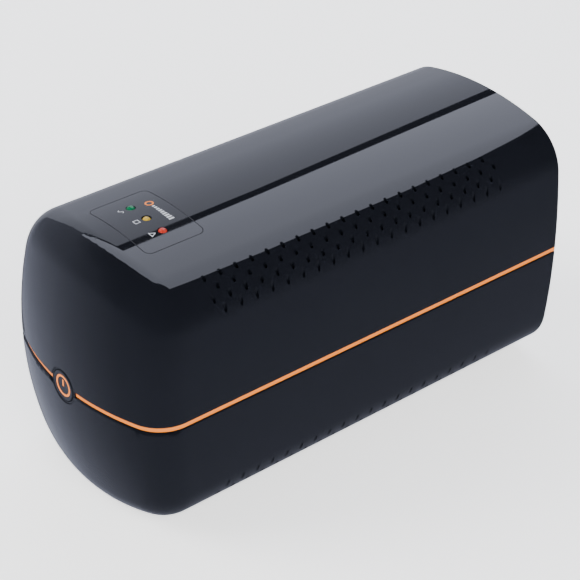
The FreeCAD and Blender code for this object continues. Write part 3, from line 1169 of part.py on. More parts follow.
def make_data_ports():
    """Two modular jacks side by side in one block."""
    z = ("port_board_height", "port_board_height + data_height")
    base = block("data_blank", span("-data_x", "data_width"), (f"{PORT_FACE} - data_depth", PORT_FACE), z)
    depth = (f"{PORT_FACE} - data_port_depth", PORT_FACE)
    holes = []
    for index in range(2):
        x = f"-data_x + ({index} - 0.5) * data_pitch"
        holes.append(block(f"jack_{index + 1}", span(x, "data_port_width"), depth,
                           (f"{z[0]} + data_port_lift", f"{z[0]} + data_port_lift + data_port_height")))
        holes.append(block(f"latch_{index + 1}", span(x, "latch_width"), depth,
                           (f"{z[0]} + data_port_lift - latch_drop",
                            f"{z[0]} + data_port_lift + latch_join")))
    return cut("data_ports", base, *holes)


def make_usb_port():
    middle = "port_board_height + usb_height / 2"
    depth = (f"{PORT_FACE} - usb_port_depth", PORT_FACE)
    base = block("usb_blank", span("usb_x", "usb_width"), (f"{PORT_FACE} - data_depth", PORT_FACE),
                 span(middle, "usb_height"))
    room = block("usb_room", span("usb_x", "usb_port_width"), depth, span(middle, "usb_port_height"))
    tongue = block("usb_tongue", span("usb_x", "usb_tongue_width"), depth, span(middle, "usb_tongue_height"))
    space = cut("usb_space", room, tongue)
    return cut("usb_port", base, space)


def make_port_board():
    z = (PORT_BOARD_Z, "port_board_height")
    board = block("port_board_blank", ("-port_board_half_width", "port_board_half_width"), PORT_BOARD, z)
    holes = both(clearance("port_board_hole", "z", ("port_boss_x", PORT_BOSS_Y), z, "board"))
    return cut("port_board", board, *holes)


def make_port_board_screws():
    return group("port_board_screws", *both(screw("port_board_screw", "z", ("port_boss_x", PORT_BOSS_Y),
                                                  "port_board_height", -1, "board")))


# ---------------------------------------------------------------- every sub-part
terminals = make_terminals()
fuse = make_fuse()
inlet_pins = make_pins("inlet_pin", group)
nodes = [
    make_top_shell(), make_bottom_shell(), make_trim_band(), make_case_screws(), make_feet(),
    make_display_film(), make_lamp("mains_lamp", 0), make_lamp("battery_lamp", 1), make_lamp("fault_lamp", 2),
    make_lamp_board(), make_lamp_board_screws(),
    make_bezel(), make_button_cap(), make_button_ring(), make_plunger(), make_spring(), make_switch_body(),
    make_switch_board(), make_switch_board_screws(),
    make_battery_case(), make_battery_lid(), terminals, make_battery_strap(), make_strap_screws(),
    make_battery_connectors(terminals), make_lead("red_lead", "terminal_x"),
    make_lead("black_lead", "-terminal_x"),
    make_core(), make_bobbin(), make_winding(), make_clamp(), make_clamp_screws(),
    make_main_board(), make_board_screws(), make_heat_sink(), make_transistors(), make_relays(),
    make_capacitors(), make_chip(), make_buzzer(), fuse, make_fuse_clips(fuse), make_headers(),
    make_rear_panel(), make_outlet("left", "(-outlet_x)"), make_outlet("right", "(outlet_x)"),
    make_outlet_covers(), make_outlet_contacts(), make_earth_clips(),
    make_shutter("left", "(-outlet_x)"), make_shutter("right", "(outlet_x)"),
    make_inlet(), inlet_pins, make_breaker(), make_breaker_nut(), make_reset_button(),
    make_data_ports(), make_usb_port(), make_port_board(), make_port_board_screws(),
]
doc.recompute()

# ---------------------------------------------------------------- checks and files
for item in doc.Objects:
    if "Invalid" in item.State or "Error" in item.State:
        raise RuntimeError(f"{item.Name} failed: {item.State}")
for node in nodes:
    shape = node.Shape
    if shape.isNull() or not shape.isValid() or not shape.Solids:
        raise RuntimeError(f"{node.Name} has no sound solid")
os.makedirs("parts", exist_ok=True)
for node in nodes:
    node.Shape.exportStep(f"parts/{node.Label}.step")
print(len(nodes), "sub-parts")
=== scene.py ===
# %% [markdown]
# # An uninterruptible power supply with a loaf-shaped case
# The case is two glossy black shells that close on an orange band. A film with three lamps lies in the
# top, a round button sits in the nose, and the outlets are on a recessed panel at the back. The CAD model
# holds every part at its real size, so this lesson adds only the looks: smooth skins, printed marks,
# finishes, light and a camera.

# %% Load the fixed frame
import math

import bmesh
import bpy
import numpy as np
from mathutils import Matrix, Vector


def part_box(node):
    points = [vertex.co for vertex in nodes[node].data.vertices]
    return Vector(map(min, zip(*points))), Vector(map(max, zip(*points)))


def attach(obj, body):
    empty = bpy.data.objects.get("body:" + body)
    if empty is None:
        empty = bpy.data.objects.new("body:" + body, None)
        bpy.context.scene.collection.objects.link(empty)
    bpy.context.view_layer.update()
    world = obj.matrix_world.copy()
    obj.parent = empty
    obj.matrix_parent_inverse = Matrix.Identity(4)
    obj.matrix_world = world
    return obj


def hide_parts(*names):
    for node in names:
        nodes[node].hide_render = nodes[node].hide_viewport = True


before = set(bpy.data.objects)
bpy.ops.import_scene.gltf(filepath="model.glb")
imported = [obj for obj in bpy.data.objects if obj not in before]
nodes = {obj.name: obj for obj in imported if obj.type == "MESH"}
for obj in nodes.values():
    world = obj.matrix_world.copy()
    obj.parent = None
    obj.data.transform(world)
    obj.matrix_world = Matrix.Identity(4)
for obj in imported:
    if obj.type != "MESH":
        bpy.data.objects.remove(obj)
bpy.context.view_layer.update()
MM = 0.001

# %% [markdown]
# ## The case as a formula
# The outside of the case is one closed form: a cross-section of crowned sides and round corners, a
# shallow dome in front, and a nose rounding between the two. It could be smoothed by a modifier, which
# would round the vent slots too. Knowing the formula gives every point of the shells its exact direction
# instead, and that is what makes a long reflection run smoothly over a glossy surface.

# %% Sizes of the case
shell_low, shell_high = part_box("top_shell")
HALF_WIDTH = shell_high.x
HALF_HEIGHT = 76.5 * MM
MIDDLE = shell_high.z - HALF_HEIGHT
FRONT, REAR = shell_low.y, shell_high.y
CORNER_RADIUS = 27.85 * MM
TOP_CROWN, SIDE_CROWN = 4.1 * MM, 2.53 * MM
DOME_PLAN, DOME_SIDE = 146.8 * MM, 233.8 * MM
NOSE_RADIUS, RIM_RADIUS = 21.3 * MM, 1.5 * MM
CORNER_X = HALF_WIDTH - CORNER_RADIUS - SIDE_CROWN
CORNER_Z = HALF_HEIGHT - CORNER_RADIUS - TOP_CROWN
corner_reach = CORNER_X ** 2 + CORNER_Z ** 2
TOP_CENTRE = ((HALF_HEIGHT - CORNER_RADIUS) ** 2 - corner_reach) / (2 * TOP_CROWN)
SIDE_CENTRE = ((HALF_WIDTH - CORNER_RADIUS) ** 2 - corner_reach) / (2 * SIDE_CROWN)
TOP_RADIUS = HALF_HEIGHT - TOP_CENTRE
print("crown radii in mm", round(TOP_RADIUS / MM, 1), round((HALF_WIDTH - SIDE_CENTRE) / MM, 1))

# %% [markdown]
# ## Walls and dome
# Each surface of the case becomes a function that says how far a point lies outside it and which way is
# out. A distance is easier to work with than a mesh, because the nearest surface is then simply the
# smallest distance.


# %% Distance from the walls and from the dome
def from_section(x, z, inset=0.0):
    """Distance outside the cross-section, and the outward direction.

    Each quarter is three arcs: the top crown, the corner and the side crown. A point belongs to the arc whose
    fan it lies in, and its distance is its reach from that arc's centre less the arc's radius."""
    across, up = np.abs(x), np.abs(z)
    on_top = np.arctan2(across, up - TOP_CENTRE) < math.atan2(CORNER_X, CORNER_Z - TOP_CENTRE)
    on_side = np.arctan2(up, across - SIDE_CENTRE) < math.atan2(CORNER_Z, CORNER_X - SIDE_CENTRE)
    centre_x = np.select([on_top, on_side], [0.0, SIDE_CENTRE], CORNER_X)
    centre_z = np.select([on_top, on_side], [TOP_CENTRE, 0.0], CORNER_Z)
    radius = np.select([on_top, on_side], [TOP_RADIUS, HALF_WIDTH - SIDE_CENTRE], CORNER_RADIUS)
    reach = np.hypot(across - centre_x, up - centre_z)
    outward = np.stack([np.sign(x) * (across - centre_x) / reach, np.zeros_like(x),
                        np.sign(z) * (up - centre_z) / reach], axis=1)
    return reach - radius + inset, outward


def from_dome(x, y, z, inset=0.0):
    """Distance outside the front dome, and the outward direction.

    The dome is an arc turned about a cross axis, so it is part of a ring: the distance is measured from the
    circle that the arc's centre follows."""
    back = y - (FRONT + DOME_SIDE)
    turn = np.hypot(back, z)
    beyond = turn - (DOME_SIDE - DOME_PLAN)
    reach = np.hypot(beyond, x)
    outward = np.stack([x / reach, beyond / reach * back / turn, beyond / reach * z / turn], axis=1)
    return reach - DOME_PLAN + inset, outward


one_out = from_section(np.array([HALF_WIDTH + MM]), np.array([0.0]))[0][0]
print("a point 1 mm outside the wall measures", round(one_out / MM, 3), "mm")

# %% [markdown]
# ## Nose and rim
# The edge between walls and dome is what a ball leaves when it rolls round inside both, so the ball's
# centre line is found first. A bevel could make the same edge, but a centre line also gives the outward
# direction.


# %% The nose rounding and the whole surface
CENTRING_STEPS = 6
POINTS_AT_ONCE = 1500
FAR_AWAY = 1.0


def nose_line(count=3000):
    """Where the rounding ball's centre runs: as far inside the walls as inside the dome, all round."""
    turn = np.linspace(0, 2 * math.pi, count, endpoint=False)
    x, z = HALF_WIDTH * np.cos(turn), HALF_HEIGHT * np.sin(turn)
    for _ in range(CENTRING_STEPS):
        distance, outward = from_section(x, z, NOSE_RADIUS)
        x, z = x - distance * outward[:, 0], z - distance * outward[:, 2]
    ring = DOME_SIDE - DOME_PLAN + np.sqrt((DOME_PLAN - NOSE_RADIUS) ** 2 - x ** 2)
    return np.stack([x, FRONT + DOME_SIDE - np.sqrt(ring ** 2 - z ** 2), z], axis=1)


def from_nose(points, inset=0.0):
    """Distance outside the nose rounding, and the way out from the nearest point of the ball's line."""
    line = nose_line()
    along = np.roll(line, -1, 0) - np.roll(line, 1, 0)
    along /= np.linalg.norm(along, axis=1)[:, None]
    nearest = np.concatenate([((part[:, None] - line[None]) ** 2).sum(2).argmin(1)
                              for part in np.array_split(points, len(points) // POINTS_AT_ONCE + 1)])
    away = points - line[nearest]
    away -= (away * along[nearest]).sum(1)[:, None] * along[nearest]
    reach = np.linalg.norm(away, axis=1)
    return reach - NOSE_RADIUS + inset, away / reach[:, None]


def from_rim(x, y, z, inset=0.0):
    """Distance outside the small rounding of the rear edge, measured from that rounding's middle line."""
    wall, outward = from_section(x, z)
    back = y - (REAR - RIM_RADIUS)
    reach = np.hypot(wall + RIM_RADIUS, back) + 1e-12
    outward = outward * ((wall + RIM_RADIUS) / reach)[:, None]
    outward[:, 1] = back / reach
    return reach - RIM_RADIUS + inset, outward


def from_case(points, inset=0.0):
    """Distance outside the case and outward direction, from whichever of its four surfaces is nearest."""
    x, y, z = points[:, 0], points[:, 1], points[:, 2] - MIDDLE
    centred = np.stack([x, y, z], axis=1)
    found = [from_section(x, z, inset), from_dome(x, y, z, inset), from_nose(centred, inset),
             from_rim(x, y, z, inset)]
    distance = np.stack([one[0] for one in found])
    distance[1:3, y > FRONT + 2 * NOSE_RADIUS] = FAR_AWAY
    distance[3, y < REAR - RIM_RADIUS] = FAR_AWAY
    best = np.abs(distance).argmin(0)
    pick = np.arange(len(points))
    return distance[best, pick], np.stack([one[1] for one in found])[best, pick]


print("points on the nose line", len(nose_line()))

# %% [markdown]
# ## Smooth skins
# A CAD mesh has flat facets, and a glossy surface shows each of them. Both shells and the film get a
# merged copy: edges that turn by more than a few degrees are halved, the new points are laid on the
# formula, and every corner of a skin face takes its direction from the formula. Holes, ribs and posts
# stay exactly as the CAD has them.

# %% Copy, refine and aim a skin
ON_SKIN = 0.05 * MM
HALVING_REACH = 0.25 * MM
TURN_LIMIT = math.radians(3)
SAME_WAY = 0.5
CAD_MERGE_REACH = 0.002 * MM
SHARP_TURN = math.radians(30)


def coordinates(mesh):
    """All points of a mesh as one array."""
    flat = np.empty(len(mesh.vertices) * 3)
    mesh.vertices.foreach_get("co", flat)
    return flat.reshape(-1, 3)


def triangles(mesh):
    """The three corners of every face of a triangle mesh as one array."""
    flat = np.empty(len(mesh.loops), int)
    mesh.loops.foreach_get("vertex_index", flat)
    return flat.reshape(-1, 3)


def skin_faces(points, corners, distance, outward):
    """Faces whose three corners lie on the formula and which look the same way as it does."""
    a, b, c = (points[corners[:, k]] for k in range(3))
    looks = np.cross(b - a, c - a)
    looks /= np.linalg.norm(looks, axis=1)[:, None] + 1e-20
    agrees = (looks * outward[corners].mean(1)).sum(1) > SAME_WAY
    return (np.abs(distance)[corners] < ON_SKIN).all(1) & agrees


def halve_turning_edges(mesh):
    """Halves skin edges whose ends look more than TURN_LIMIT apart, and lays the new points on the case."""
    points, corners = coordinates(mesh), triangles(mesh)
    distance, outward = from_case(points)
    skin = corners[skin_faces(points, corners, distance, outward)]
    ends = np.sort(np.concatenate([skin[:, [0, 1]], skin[:, [1, 2]], skin[:, [2, 0]]]), axis=1)
    turning = (outward[ends[:, 0]] * outward[ends[:, 1]]).sum(1) < math.cos(TURN_LIMIT)
    keys = np.unique(ends[turning, 0] * len(points) + ends[turning, 1])
    pairs = np.empty(len(mesh.edges) * 2, int)
    mesh.edges.foreach_get("vertices", pairs)
    pairs = np.sort(pairs.reshape(-1, 2), axis=1)
    chosen = np.flatnonzero(np.isin(pairs[:, 0] * len(points) + pairs[:, 1], keys))
    work = bmesh.new()
    work.from_mesh(mesh)
    work.edges.ensure_lookup_table()
    bmesh.ops.subdivide_edges(work, edges=[work.edges[int(k)] for k in chosen], cuts=1)
    bmesh.ops.triangulate(work, faces=[face for face in work.faces if len(face.verts) > 3])
    work.to_mesh(mesh)
    work.free()
    moved = coordinates(mesh)
    fresh = moved[len(points):]
    if len(fresh):
        distance, outward = from_case(fresh)
        near = np.abs(distance) < HALVING_REACH
        fresh[near] -= distance[near, None] * outward[near]
        moved[len(points):] = fresh
        mesh.vertices.foreach_set("co", moved.ravel())
        mesh.update()


def smooth_skin(node, rounds=3):
    """A merged copy of a CAD node, refined where it turns and shaded by the formula."""
    piece = bpy.data.objects.new(node + "_skin", nodes[node].data.copy())
    bpy.context.scene.collection.objects.link(piece)
    mesh = piece.data
    mesh.materials.clear()
    work = bmesh.new()
    work.from_mesh(mesh)
    bmesh.ops.remove_doubles(work, verts=work.verts, dist=CAD_MERGE_REACH)
    work.to_mesh(mesh)
    work.free()
    for _ in range(rounds):
        halve_turning_edges(mesh)
    points, corners = coordinates(mesh), triangles(mesh)
    distance, outward = from_case(points)
    skin = skin_faces(points, corners, distance, outward)
    mesh.shade_smooth()
    mesh.set_sharp_from_angle(angle=SHARP_TURN)
    aims = np.zeros((len(corners), 3, 3))
    aims[skin] = outward[corners[skin]]
    mesh.normals_split_custom_set(aims.reshape(-1, 3).tolist())
    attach(piece, "case")
    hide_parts(node)
    print(piece.name, len(corners), "triangles,", int(skin.sum()), "on the skin")
    return piece


top_skin = smooth_skin("top_shell")
bottom_skin = smooth_skin("bottom_shell")
film_skin = smooth_skin("display_film")

# %% [markdown]
# ## Shapes from grids
# The other new pieces are made the same way: a grid of points worked out in one go, joined into four-
# sided faces. A profile carried along a path gives the band and the printed marks, and a profile turned
# about an axis gives the button. Curves and modifiers could do it too, but a grid says exactly where each
# point is.


# %% Grid, sweep and turning helpers
PIECE_MERGE_REACH = 0.0005 * MM


def mesh_piece(name, points, faces, body, sharp=35):
    """A piece from points and faces: doubles merged, faces looking outwards, edges over an angle sharp."""
    mesh = bpy.data.meshes.new(name)
    mesh.from_pydata(points.tolist(), [], [tuple(int(k) for k in face) for face in faces])
    work = bmesh.new()
    work.from_mesh(mesh)
    bmesh.ops.remove_doubles(work, verts=work.verts, dist=PIECE_MERGE_REACH)
    bmesh.ops.recalc_face_normals(work, faces=work.faces)
    work.to_mesh(mesh)
    work.free()
    mesh.shade_smooth()
    mesh.set_sharp_from_angle(angle=math.radians(sharp))
    piece = bpy.data.objects.new(name, mesh)
    bpy.context.scene.collection.objects.link(piece)
    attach(piece, body)
    return piece


def grid_faces(rows, columns, round_rows=False, round_columns=False):
    """Corner numbers of the four-sided faces of a grid, which may close on itself either way."""
    i = np.arange(rows if round_rows else rows - 1)[:, None]
    j = np.arange(columns if round_columns else columns - 1)[None]
    after, beside = (i + 1) % rows, (j + 1) % columns
    return np.stack([i * columns + j, after * columns + j, after * columns + beside, i * columns + beside],
                    axis=2).reshape(-1, 4)


def turned_form(axis_point, axis, profile, steps=64):
    """A profile of (radius, height) pairs turned about an axis: each pair becomes one ring of the grid."""
    radius, height = np.array(profile).T
    turn = np.linspace(0, 2 * math.pi, steps, endpoint=False)
    along = np.array(axis, float)
    first = np.array([1.0, 0, 0])
    second = np.cross(along, first)
    spoke = np.cos(turn)[None, :, None] * first + np.sin(turn)[None, :, None] * second
    rings = (np.array(axis_point)[None, None] + height[:, None, None] * along
             + radius[:, None, None] * spoke)
    return rings.reshape(-1, 3), grid_faces(len(profile), steps, round_columns=True)


print("faces of a grid of 4 by 6 that closes both ways", len(grid_faces(4, 6, True, True)))

# %% [markdown]
# ## The orange band
# On the real case the band is a thin moulding that both shells grip, drawn in a little so that it lies in
# a shadow line. It is a rounded strip carried along the plan of the case: straight side, nose arc, front
# arc up to the button. A bevelled curve would do the same, but would not keep exact quarter circles on
# its two outer edges. One half is worked out and the other is its mirror image.

# %% Carry the strip round the case
BAND_SINK, BAND_ROOT = 0.7 * MM, 1.75 * MM
BAND_EDGE = 0.35 * MM
band_low, band_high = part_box("trim_band")
bezel_low, bezel_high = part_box("button_bezel")
BUTTON_HOLE = 10.15 * MM


def band_plan(inset, steps=48):
    """Plan of the case at mid height, drawn in by an inset: straight side, nose arc, then the dome's arc."""
    nose, dome = NOSE_RADIUS - inset, DOME_PLAN - inset
    centre_x = HALF_WIDTH - NOSE_RADIUS
    centre_y = FRONT + DOME_PLAN - math.sqrt((DOME_PLAN - NOSE_RADIUS) ** 2 - centre_x ** 2)
    lean = math.asin(centre_x / (DOME_PLAN - NOSE_RADIUS))
    side = np.linspace(band_high.y, centre_y, steps, endpoint=False)
    turn = np.linspace(0, math.pi / 2 - lean, steps)
    front = np.linspace(lean, math.asin(BUTTON_HOLE / dome), steps)[1:]
    x = np.concatenate([np.full(steps, HALF_WIDTH - inset), centre_x + nose * np.cos(turn),
                        dome * np.sin(front)])
    y = np.concatenate([side, centre_y - nose * np.sin(turn), FRONT + DOME_PLAN - dome * np.cos(front)])
    return np.stack([x, y], axis=1)


def band_half(name, side):
    """The strip's profile is a tall rectangle whose two outer edges are rounded by quarter circles."""
    quarter = np.linspace(0, math.pi / 2, 7)
    inset = np.concatenate([[BAND_ROOT], BAND_SINK + BAND_EDGE * (1 - np.sin(quarter)),
                            BAND_SINK + BAND_EDGE * (1 - np.cos(quarter)), [BAND_ROOT]])
    height = np.concatenate([[band_high.z], band_high.z - BAND_EDGE + BAND_EDGE * np.cos(quarter),
                             band_low.z + BAND_EDGE - BAND_EDGE * np.sin(quarter), [band_low.z]])
    rows = []
    for depth, z in zip(inset, height):
        plan = band_plan(depth)
        rows.append(np.column_stack([side * plan[:, 0], plan[:, 1], np.full(len(plan), z)]))
    grid = np.stack(rows)
    faces = grid_faces(*grid.shape[:2], round_rows=True)
    first_end = np.arange(grid.shape[0]) * grid.shape[1]
    ends = [first_end, first_end + grid.shape[1] - 1]
    return mesh_piece(name, grid.reshape(-1, 3), [*faces, *ends], "case")


right_band = band_half("trim_band_right", 1)
left_band = band_half("trim_band_left", -1)
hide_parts("trim_band")
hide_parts("trim_band")
print("band height in mm", round((band_high.z - band_low.z) / MM, 2))

# %% [markdown]
# ## The power button
# The button is a round cap with a soft edge in a sleeve of the case's own black, with an orange ring let
# into its face. A plain bar inside the ring makes the usual sign for a switch. All but the bar are turned
# forms, and the bar is an outline raised a little, which is simpler than cutting it out of the cap.

# %% Sleeve, cap and ring
BUTTON_Z = (bezel_low.z + bezel_high.z) / 2
cap_low, cap_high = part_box("power_button")
ring_low, ring_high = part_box("button_ring")
INTO_CASE = (0, 1, 0)
CAP_RADIUS, CAP_SKIRT, CAP_EDGE, CAP_DISH = 8.6 * MM, 11 * MM, 0.8 * MM, 0.35 * MM
RING_INNER, RING_OUTER, RING_SINK, RING_LIFT = 4.9 * MM, 6.2 * MM, 0.4 * MM, 0.08 * MM
BAR_WIDTH, BAR_LOW, BAR_HIGH, BAR_LIFT, BAR_ROOT = 1.2 * MM, -0.4 * MM, 3.6 * MM, 0.14 * MM, 0.5 * MM
SLEEVE_BORE, SLEEVE_RADIUS, SLEEVE_EDGE = 8.9 * MM, 10 * MM, 0.4 * MM
FLANGE_RADIUS, FLANGE_START, FLANGE_END = 13 * MM, 4.5 * MM, 6.5 * MM
AROUND_BUTTON = 96


def soft_edge(radius, height, edge):
    """Pairs of a rounded outer edge: a quarter circle from the face to the side."""
    turn = np.linspace(0, math.pi / 2, 8)
    pairs = np.column_stack([radius - edge + edge * np.sin(turn), height + edge - edge * np.cos(turn)])
    return pairs.tolist()


def button_cap():
    """A shallow dished face, a soft edge and a skirt, closed behind: the dish is a parabola of the radius."""
    reach = np.linspace(0, CAP_RADIUS - CAP_EDGE, 14)
    dish = np.column_stack([reach, CAP_DISH * (1 - (reach / reach[-1]) ** 2)]).tolist()
    profile = dish + soft_edge(CAP_RADIUS, 0, CAP_EDGE)[1:] + [[CAP_RADIUS, CAP_SKIRT], [0, CAP_SKIRT]]
    return turned_form((0, cap_low.y, BUTTON_Z), INTO_CASE, profile, AROUND_BUTTON)


points, faces = button_cap()
cap = mesh_piece("button_cap", points, faces, "power_button")
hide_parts("power_button")


def disc_band(inner, outer, sink, height, steps=AROUND_BUTTON):
    """A flat ring with softened edges, as a closed profile turned about the axis."""
    edge = 0.08 * MM
    middle = (inner + outer) / 2
    profile = [[inner, sink], [inner, height + edge], [inner + edge, height], [middle, height - edge / 4],
               [outer - edge, height], [outer, height + edge], [outer, sink], [inner, sink]]
    return turned_form((0, cap_low.y, BUTTON_Z), INTO_CASE, profile, steps)


points, faces = disc_band(RING_INNER, RING_OUTER, RING_SINK, RING_LIFT)
ring = mesh_piece("button_ring_inlay", points, faces, "power_button")
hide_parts("button_ring")


def bar_on_button(width, low, high, lift):
    """An upright bar with half-round ends: the outline is two half circles joined by straight sides."""
    turn = np.linspace(0, math.pi, 17)
    half = width / 2
    upper = np.column_stack([half * np.cos(turn), high - half + half * np.sin(turn)])
    lower = np.column_stack([-half * np.cos(turn), low + half - half * np.sin(turn)])
    outline = np.concatenate([upper, lower])
    rings = np.stack([np.column_stack([outline[:, 0], np.full(len(outline), cap_low.y + depth),
                                       BUTTON_Z + outline[:, 1]]) for depth in (BAR_ROOT, lift)])
    faces = grid_faces(2, len(outline), round_columns=True)
    caps = [np.arange(len(outline)), np.arange(len(outline)) + len(outline)]
    return rings.reshape(-1, 3), [*faces, *caps]


points, faces = bar_on_button(BAR_WIDTH, BAR_LOW, BAR_HIGH, BAR_LIFT)
bar = mesh_piece("button_bar", points, faces, "power_button")


def button_sleeve():
    """The sleeve round the cap, with both front edges rounded, turned as one closed profile."""
    bore, radius, edge = SLEEVE_BORE, SLEEVE_RADIUS, SLEEVE_EDGE
    length = bezel_high.y - bezel_low.y
    turn = np.linspace(0, math.pi / 2, 7)
    inner = np.column_stack([bore + edge - edge * np.sin(turn), edge - edge * np.cos(turn)])[::-1]
    outer = np.column_stack([radius - edge + edge * np.sin(turn), edge - edge * np.cos(turn)])
    profile = [[bore, length], *inner.tolist(), *outer.tolist(), [radius, FLANGE_START],
               [FLANGE_RADIUS, FLANGE_START], [FLANGE_RADIUS, FLANGE_END], [radius, FLANGE_END],
               [radius, length], [bore, length]]
    return turned_form((0, bezel_low.y, BUTTON_Z), INTO_CASE, profile, AROUND_BUTTON)


points, faces = button_sleeve()
sleeve = mesh_piece("button_sleeve", points, faces, "case")
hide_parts("button_bezel")
print("button centre height in mm", round(BUTTON_Z / MM, 2),
      "cap across", round((cap_high.x - cap_low.x) / MM, 1),
      "CAD ring across", round((ring_high.x - ring_low.x) / MM, 1))

# %% [markdown]
# ## Marks printed on the film
# Small white signs stand in front of the lamps, for mains, battery and fault, and a plain mark and a
# level scale stand behind them. They could be painted by a texture. Here each sign is a flat strip a few
# hundredths of a millimetre thick, laid on the crown of the case by the same formula as the skin, so its
# edge is sharp at any distance.

# %% Lay strips on the crown
LAMP_Y = sum(corner.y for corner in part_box("battery_lamp")) / 2
LAMP_PITCH = sum(corner.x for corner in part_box("fault_lamp")) / 2
INK = 0.05 * MM


def on_crown(x, y, lift):
    """Points of the top at a place in plan: the crown is an arc across the case, with lift added upwards."""
    return np.stack([x, y, MIDDLE + TOP_CENTRE + np.sqrt(TOP_RADIUS ** 2 - x ** 2) + lift], axis=-1)


def ink_piece(name, inner, outer, closed, lift=INK):
    """A strip between two lines in plan, with top, bottom and edges: four rows of points carried along it."""
    rows = np.stack([on_crown(inner[:, 0], inner[:, 1], -INK), on_crown(inner[:, 0], inner[:, 1], lift),
                     on_crown(outer[:, 0], outer[:, 1], lift), on_crown(outer[:, 0], outer[:, 1], -INK)])
    faces = list(grid_faces(4, len(inner), round_rows=True, round_columns=closed))
    if not closed:
        starts = np.arange(4) * len(inner)
        faces += [starts, starts + len(inner) - 1]
    return mesh_piece(name, rows.reshape(-1, 3), faces, "case")


def outline_sign(name, centre, radius, width, sides, turn):
    """A regular outline, from a triangle to a circle: the same corners at two distances from the centre."""
    angle = np.linspace(0, 2 * math.pi, sides, endpoint=False) + turn
    corners = np.column_stack([np.cos(angle), np.sin(angle)])
    grow = width / 2 / math.cos(math.pi / sides)
    return ink_piece(name, centre + corners * (radius - grow), centre + corners * (radius + grow), True)


def strip_sign(name, middle, width):
    """A line of an even width along any path in plan: each side is the path moved along its own normal."""
    along = np.gradient(middle, axis=0)
    along /= np.linalg.norm(along, axis=1)[:, None]
    aside = np.column_stack([-along[:, 1], along[:, 0]]) * width / 2
    return ink_piece(name, middle - aside, middle + aside, False)


SIGN_REACH, SIGN_LINE, WAVE_HEIGHT = 1.9 * MM, 0.38 * MM, 0.9 * MM
TRIANGLE_DROP = 0.3 * MM
sign_y = LAMP_Y - 6.0 * MM
wave_x = np.linspace(-SIGN_REACH, SIGN_REACH, 41)
wave = np.column_stack([-LAMP_PITCH + wave_x, sign_y + WAVE_HEIGHT * np.sin(wave_x / wave_x[-1] * math.pi)])
fault_centre = np.array([LAMP_PITCH, sign_y - TRIANGLE_DROP])
marks = [strip_sign("mains_sign", wave, SIGN_LINE),
         outline_sign("battery_sign", np.array([0, sign_y]), SIGN_REACH, SIGN_LINE, 4, math.pi / 4),
         outline_sign("fault_sign", fault_centre, SIGN_REACH, SIGN_LINE, 3, math.pi / 2)]
print("lamp signs", len(marks))

# %% [markdown]
# ## A plain mark and a level scale
# Behind the lamps the film carries a small orange mark and a row of growing bars, as a charge gauge has.
# One ring and nine short strips make them with the helpers above, and no letters are needed.

# %% Ring and bars
SCALE_BARS, SCALE_REACH, BAR_LINE = 9, 7.6 * MM, 1.15 * MM
SHORTEST_BAR, BAR_GROWTH = 0.7 * MM, 0.11 * MM
MARK_X, MARK_RADIUS, MARK_LINE = -11.3 * MM, 1.9 * MM, 0.9 * MM
scale_y = LAMP_Y + 9.7 * MM
film_mark = outline_sign("film_mark", np.array([MARK_X, scale_y]), MARK_RADIUS, MARK_LINE, 48, 0)
for k, x in enumerate(np.linspace(-SCALE_REACH, SCALE_REACH, SCALE_BARS)):
    tall = SHORTEST_BAR + BAR_GROWTH * k
    line = np.column_stack([np.full(2, x), [scale_y - tall, scale_y + tall]])
    marks.append(strip_sign(f"scale_bar_{k + 1}", line, BAR_LINE))
print("printed marks", len(marks) + 1)

# %% [markdown]
# ## The painted shade round the film
# The thin gap between the film and the top shell lies in shadow, and that shade is painted: a narrow closed
# dark strip over the gap draws that line, with many points along the straight sides so that it bends with the
# crown.


# %% The painted gap shade strip
FILM_CORNER, HALF_EDGE_LINE = 3.85 * MM, 0.22 * MM
POINTS_PER_SIDE = 40


def rounded_outline(low, high, radius, steps=12):
    """A rectangle in plan with quarter circles for corners: one closed line with points along its sides."""
    turn = np.linspace(0, math.pi / 2, steps)
    corners = ((high[0] - radius, high[1] - radius, 0), (low[0] + radius, high[1] - radius, 1),
               (low[0] + radius, low[1] + radius, 2), (high[0] - radius, low[1] + radius, 3))
    line = np.concatenate([np.column_stack([x + radius * np.cos(turn + quarter * math.pi / 2),
                                            y + radius * np.sin(turn + quarter * math.pi / 2)])
                           for x, y, quarter in corners])
    share = np.linspace(0, 1, POINTS_PER_SIDE, endpoint=False)[None, :, None]
    return (line[:, None] * (1 - share) + np.roll(line, -1, 0)[:, None] * share).reshape(-1, 2)


def film_gap_shade():
    """A painted shadow for the gap round the film: a narrow dark line between two rounded rectangles, one a
    little larger.
    """
    film_low, film_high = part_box("display_film")
    half = HALF_EDGE_LINE
    inner = rounded_outline((film_low.x + half, film_low.y + half), (film_high.x - half, film_high.y - half),
                            FILM_CORNER - half)
    outer = rounded_outline((film_low.x - half, film_low.y - half), (film_high.x + half, film_high.y + half),
                            FILM_CORNER + half)
    return ink_piece("film_gap_shade", inner, outer, True)


# painted shade: a dark strip laid over the shadowed gap between the film and the top shell
border = film_gap_shade()
print("film border points", len(border.data.vertices))

# %% [markdown]
# ## Finishes
# Every finish is a small network of procedural nodes that reads Object coordinates, so nothing slides or
# stretches. Image textures could do it, but they need a map for each piece. A few helpers add the nodes
# that most finishes share: a soft cloud of noise, a range of values, a blend of two colours and a raised
# grain.


# %% A helper that starts each finish
def new_finish(name, roughness, metallic=0.0, ior=1.5):
    """A material with its main shader, its Object coordinates and short ways to add and join nodes."""
    material = bpy.data.materials.new(name)
    material.use_nodes = True
    tree = material.node_tree
    shader = tree.nodes["Principled BSDF"]
    shader.inputs["Roughness"].default_value = roughness
    shader.inputs["Metallic"].default_value = metallic
    shader.inputs["IOR"].default_value = ior
    place = tree.nodes.new("ShaderNodeTexCoord").outputs["Object"]
    return material, tree, shader, place


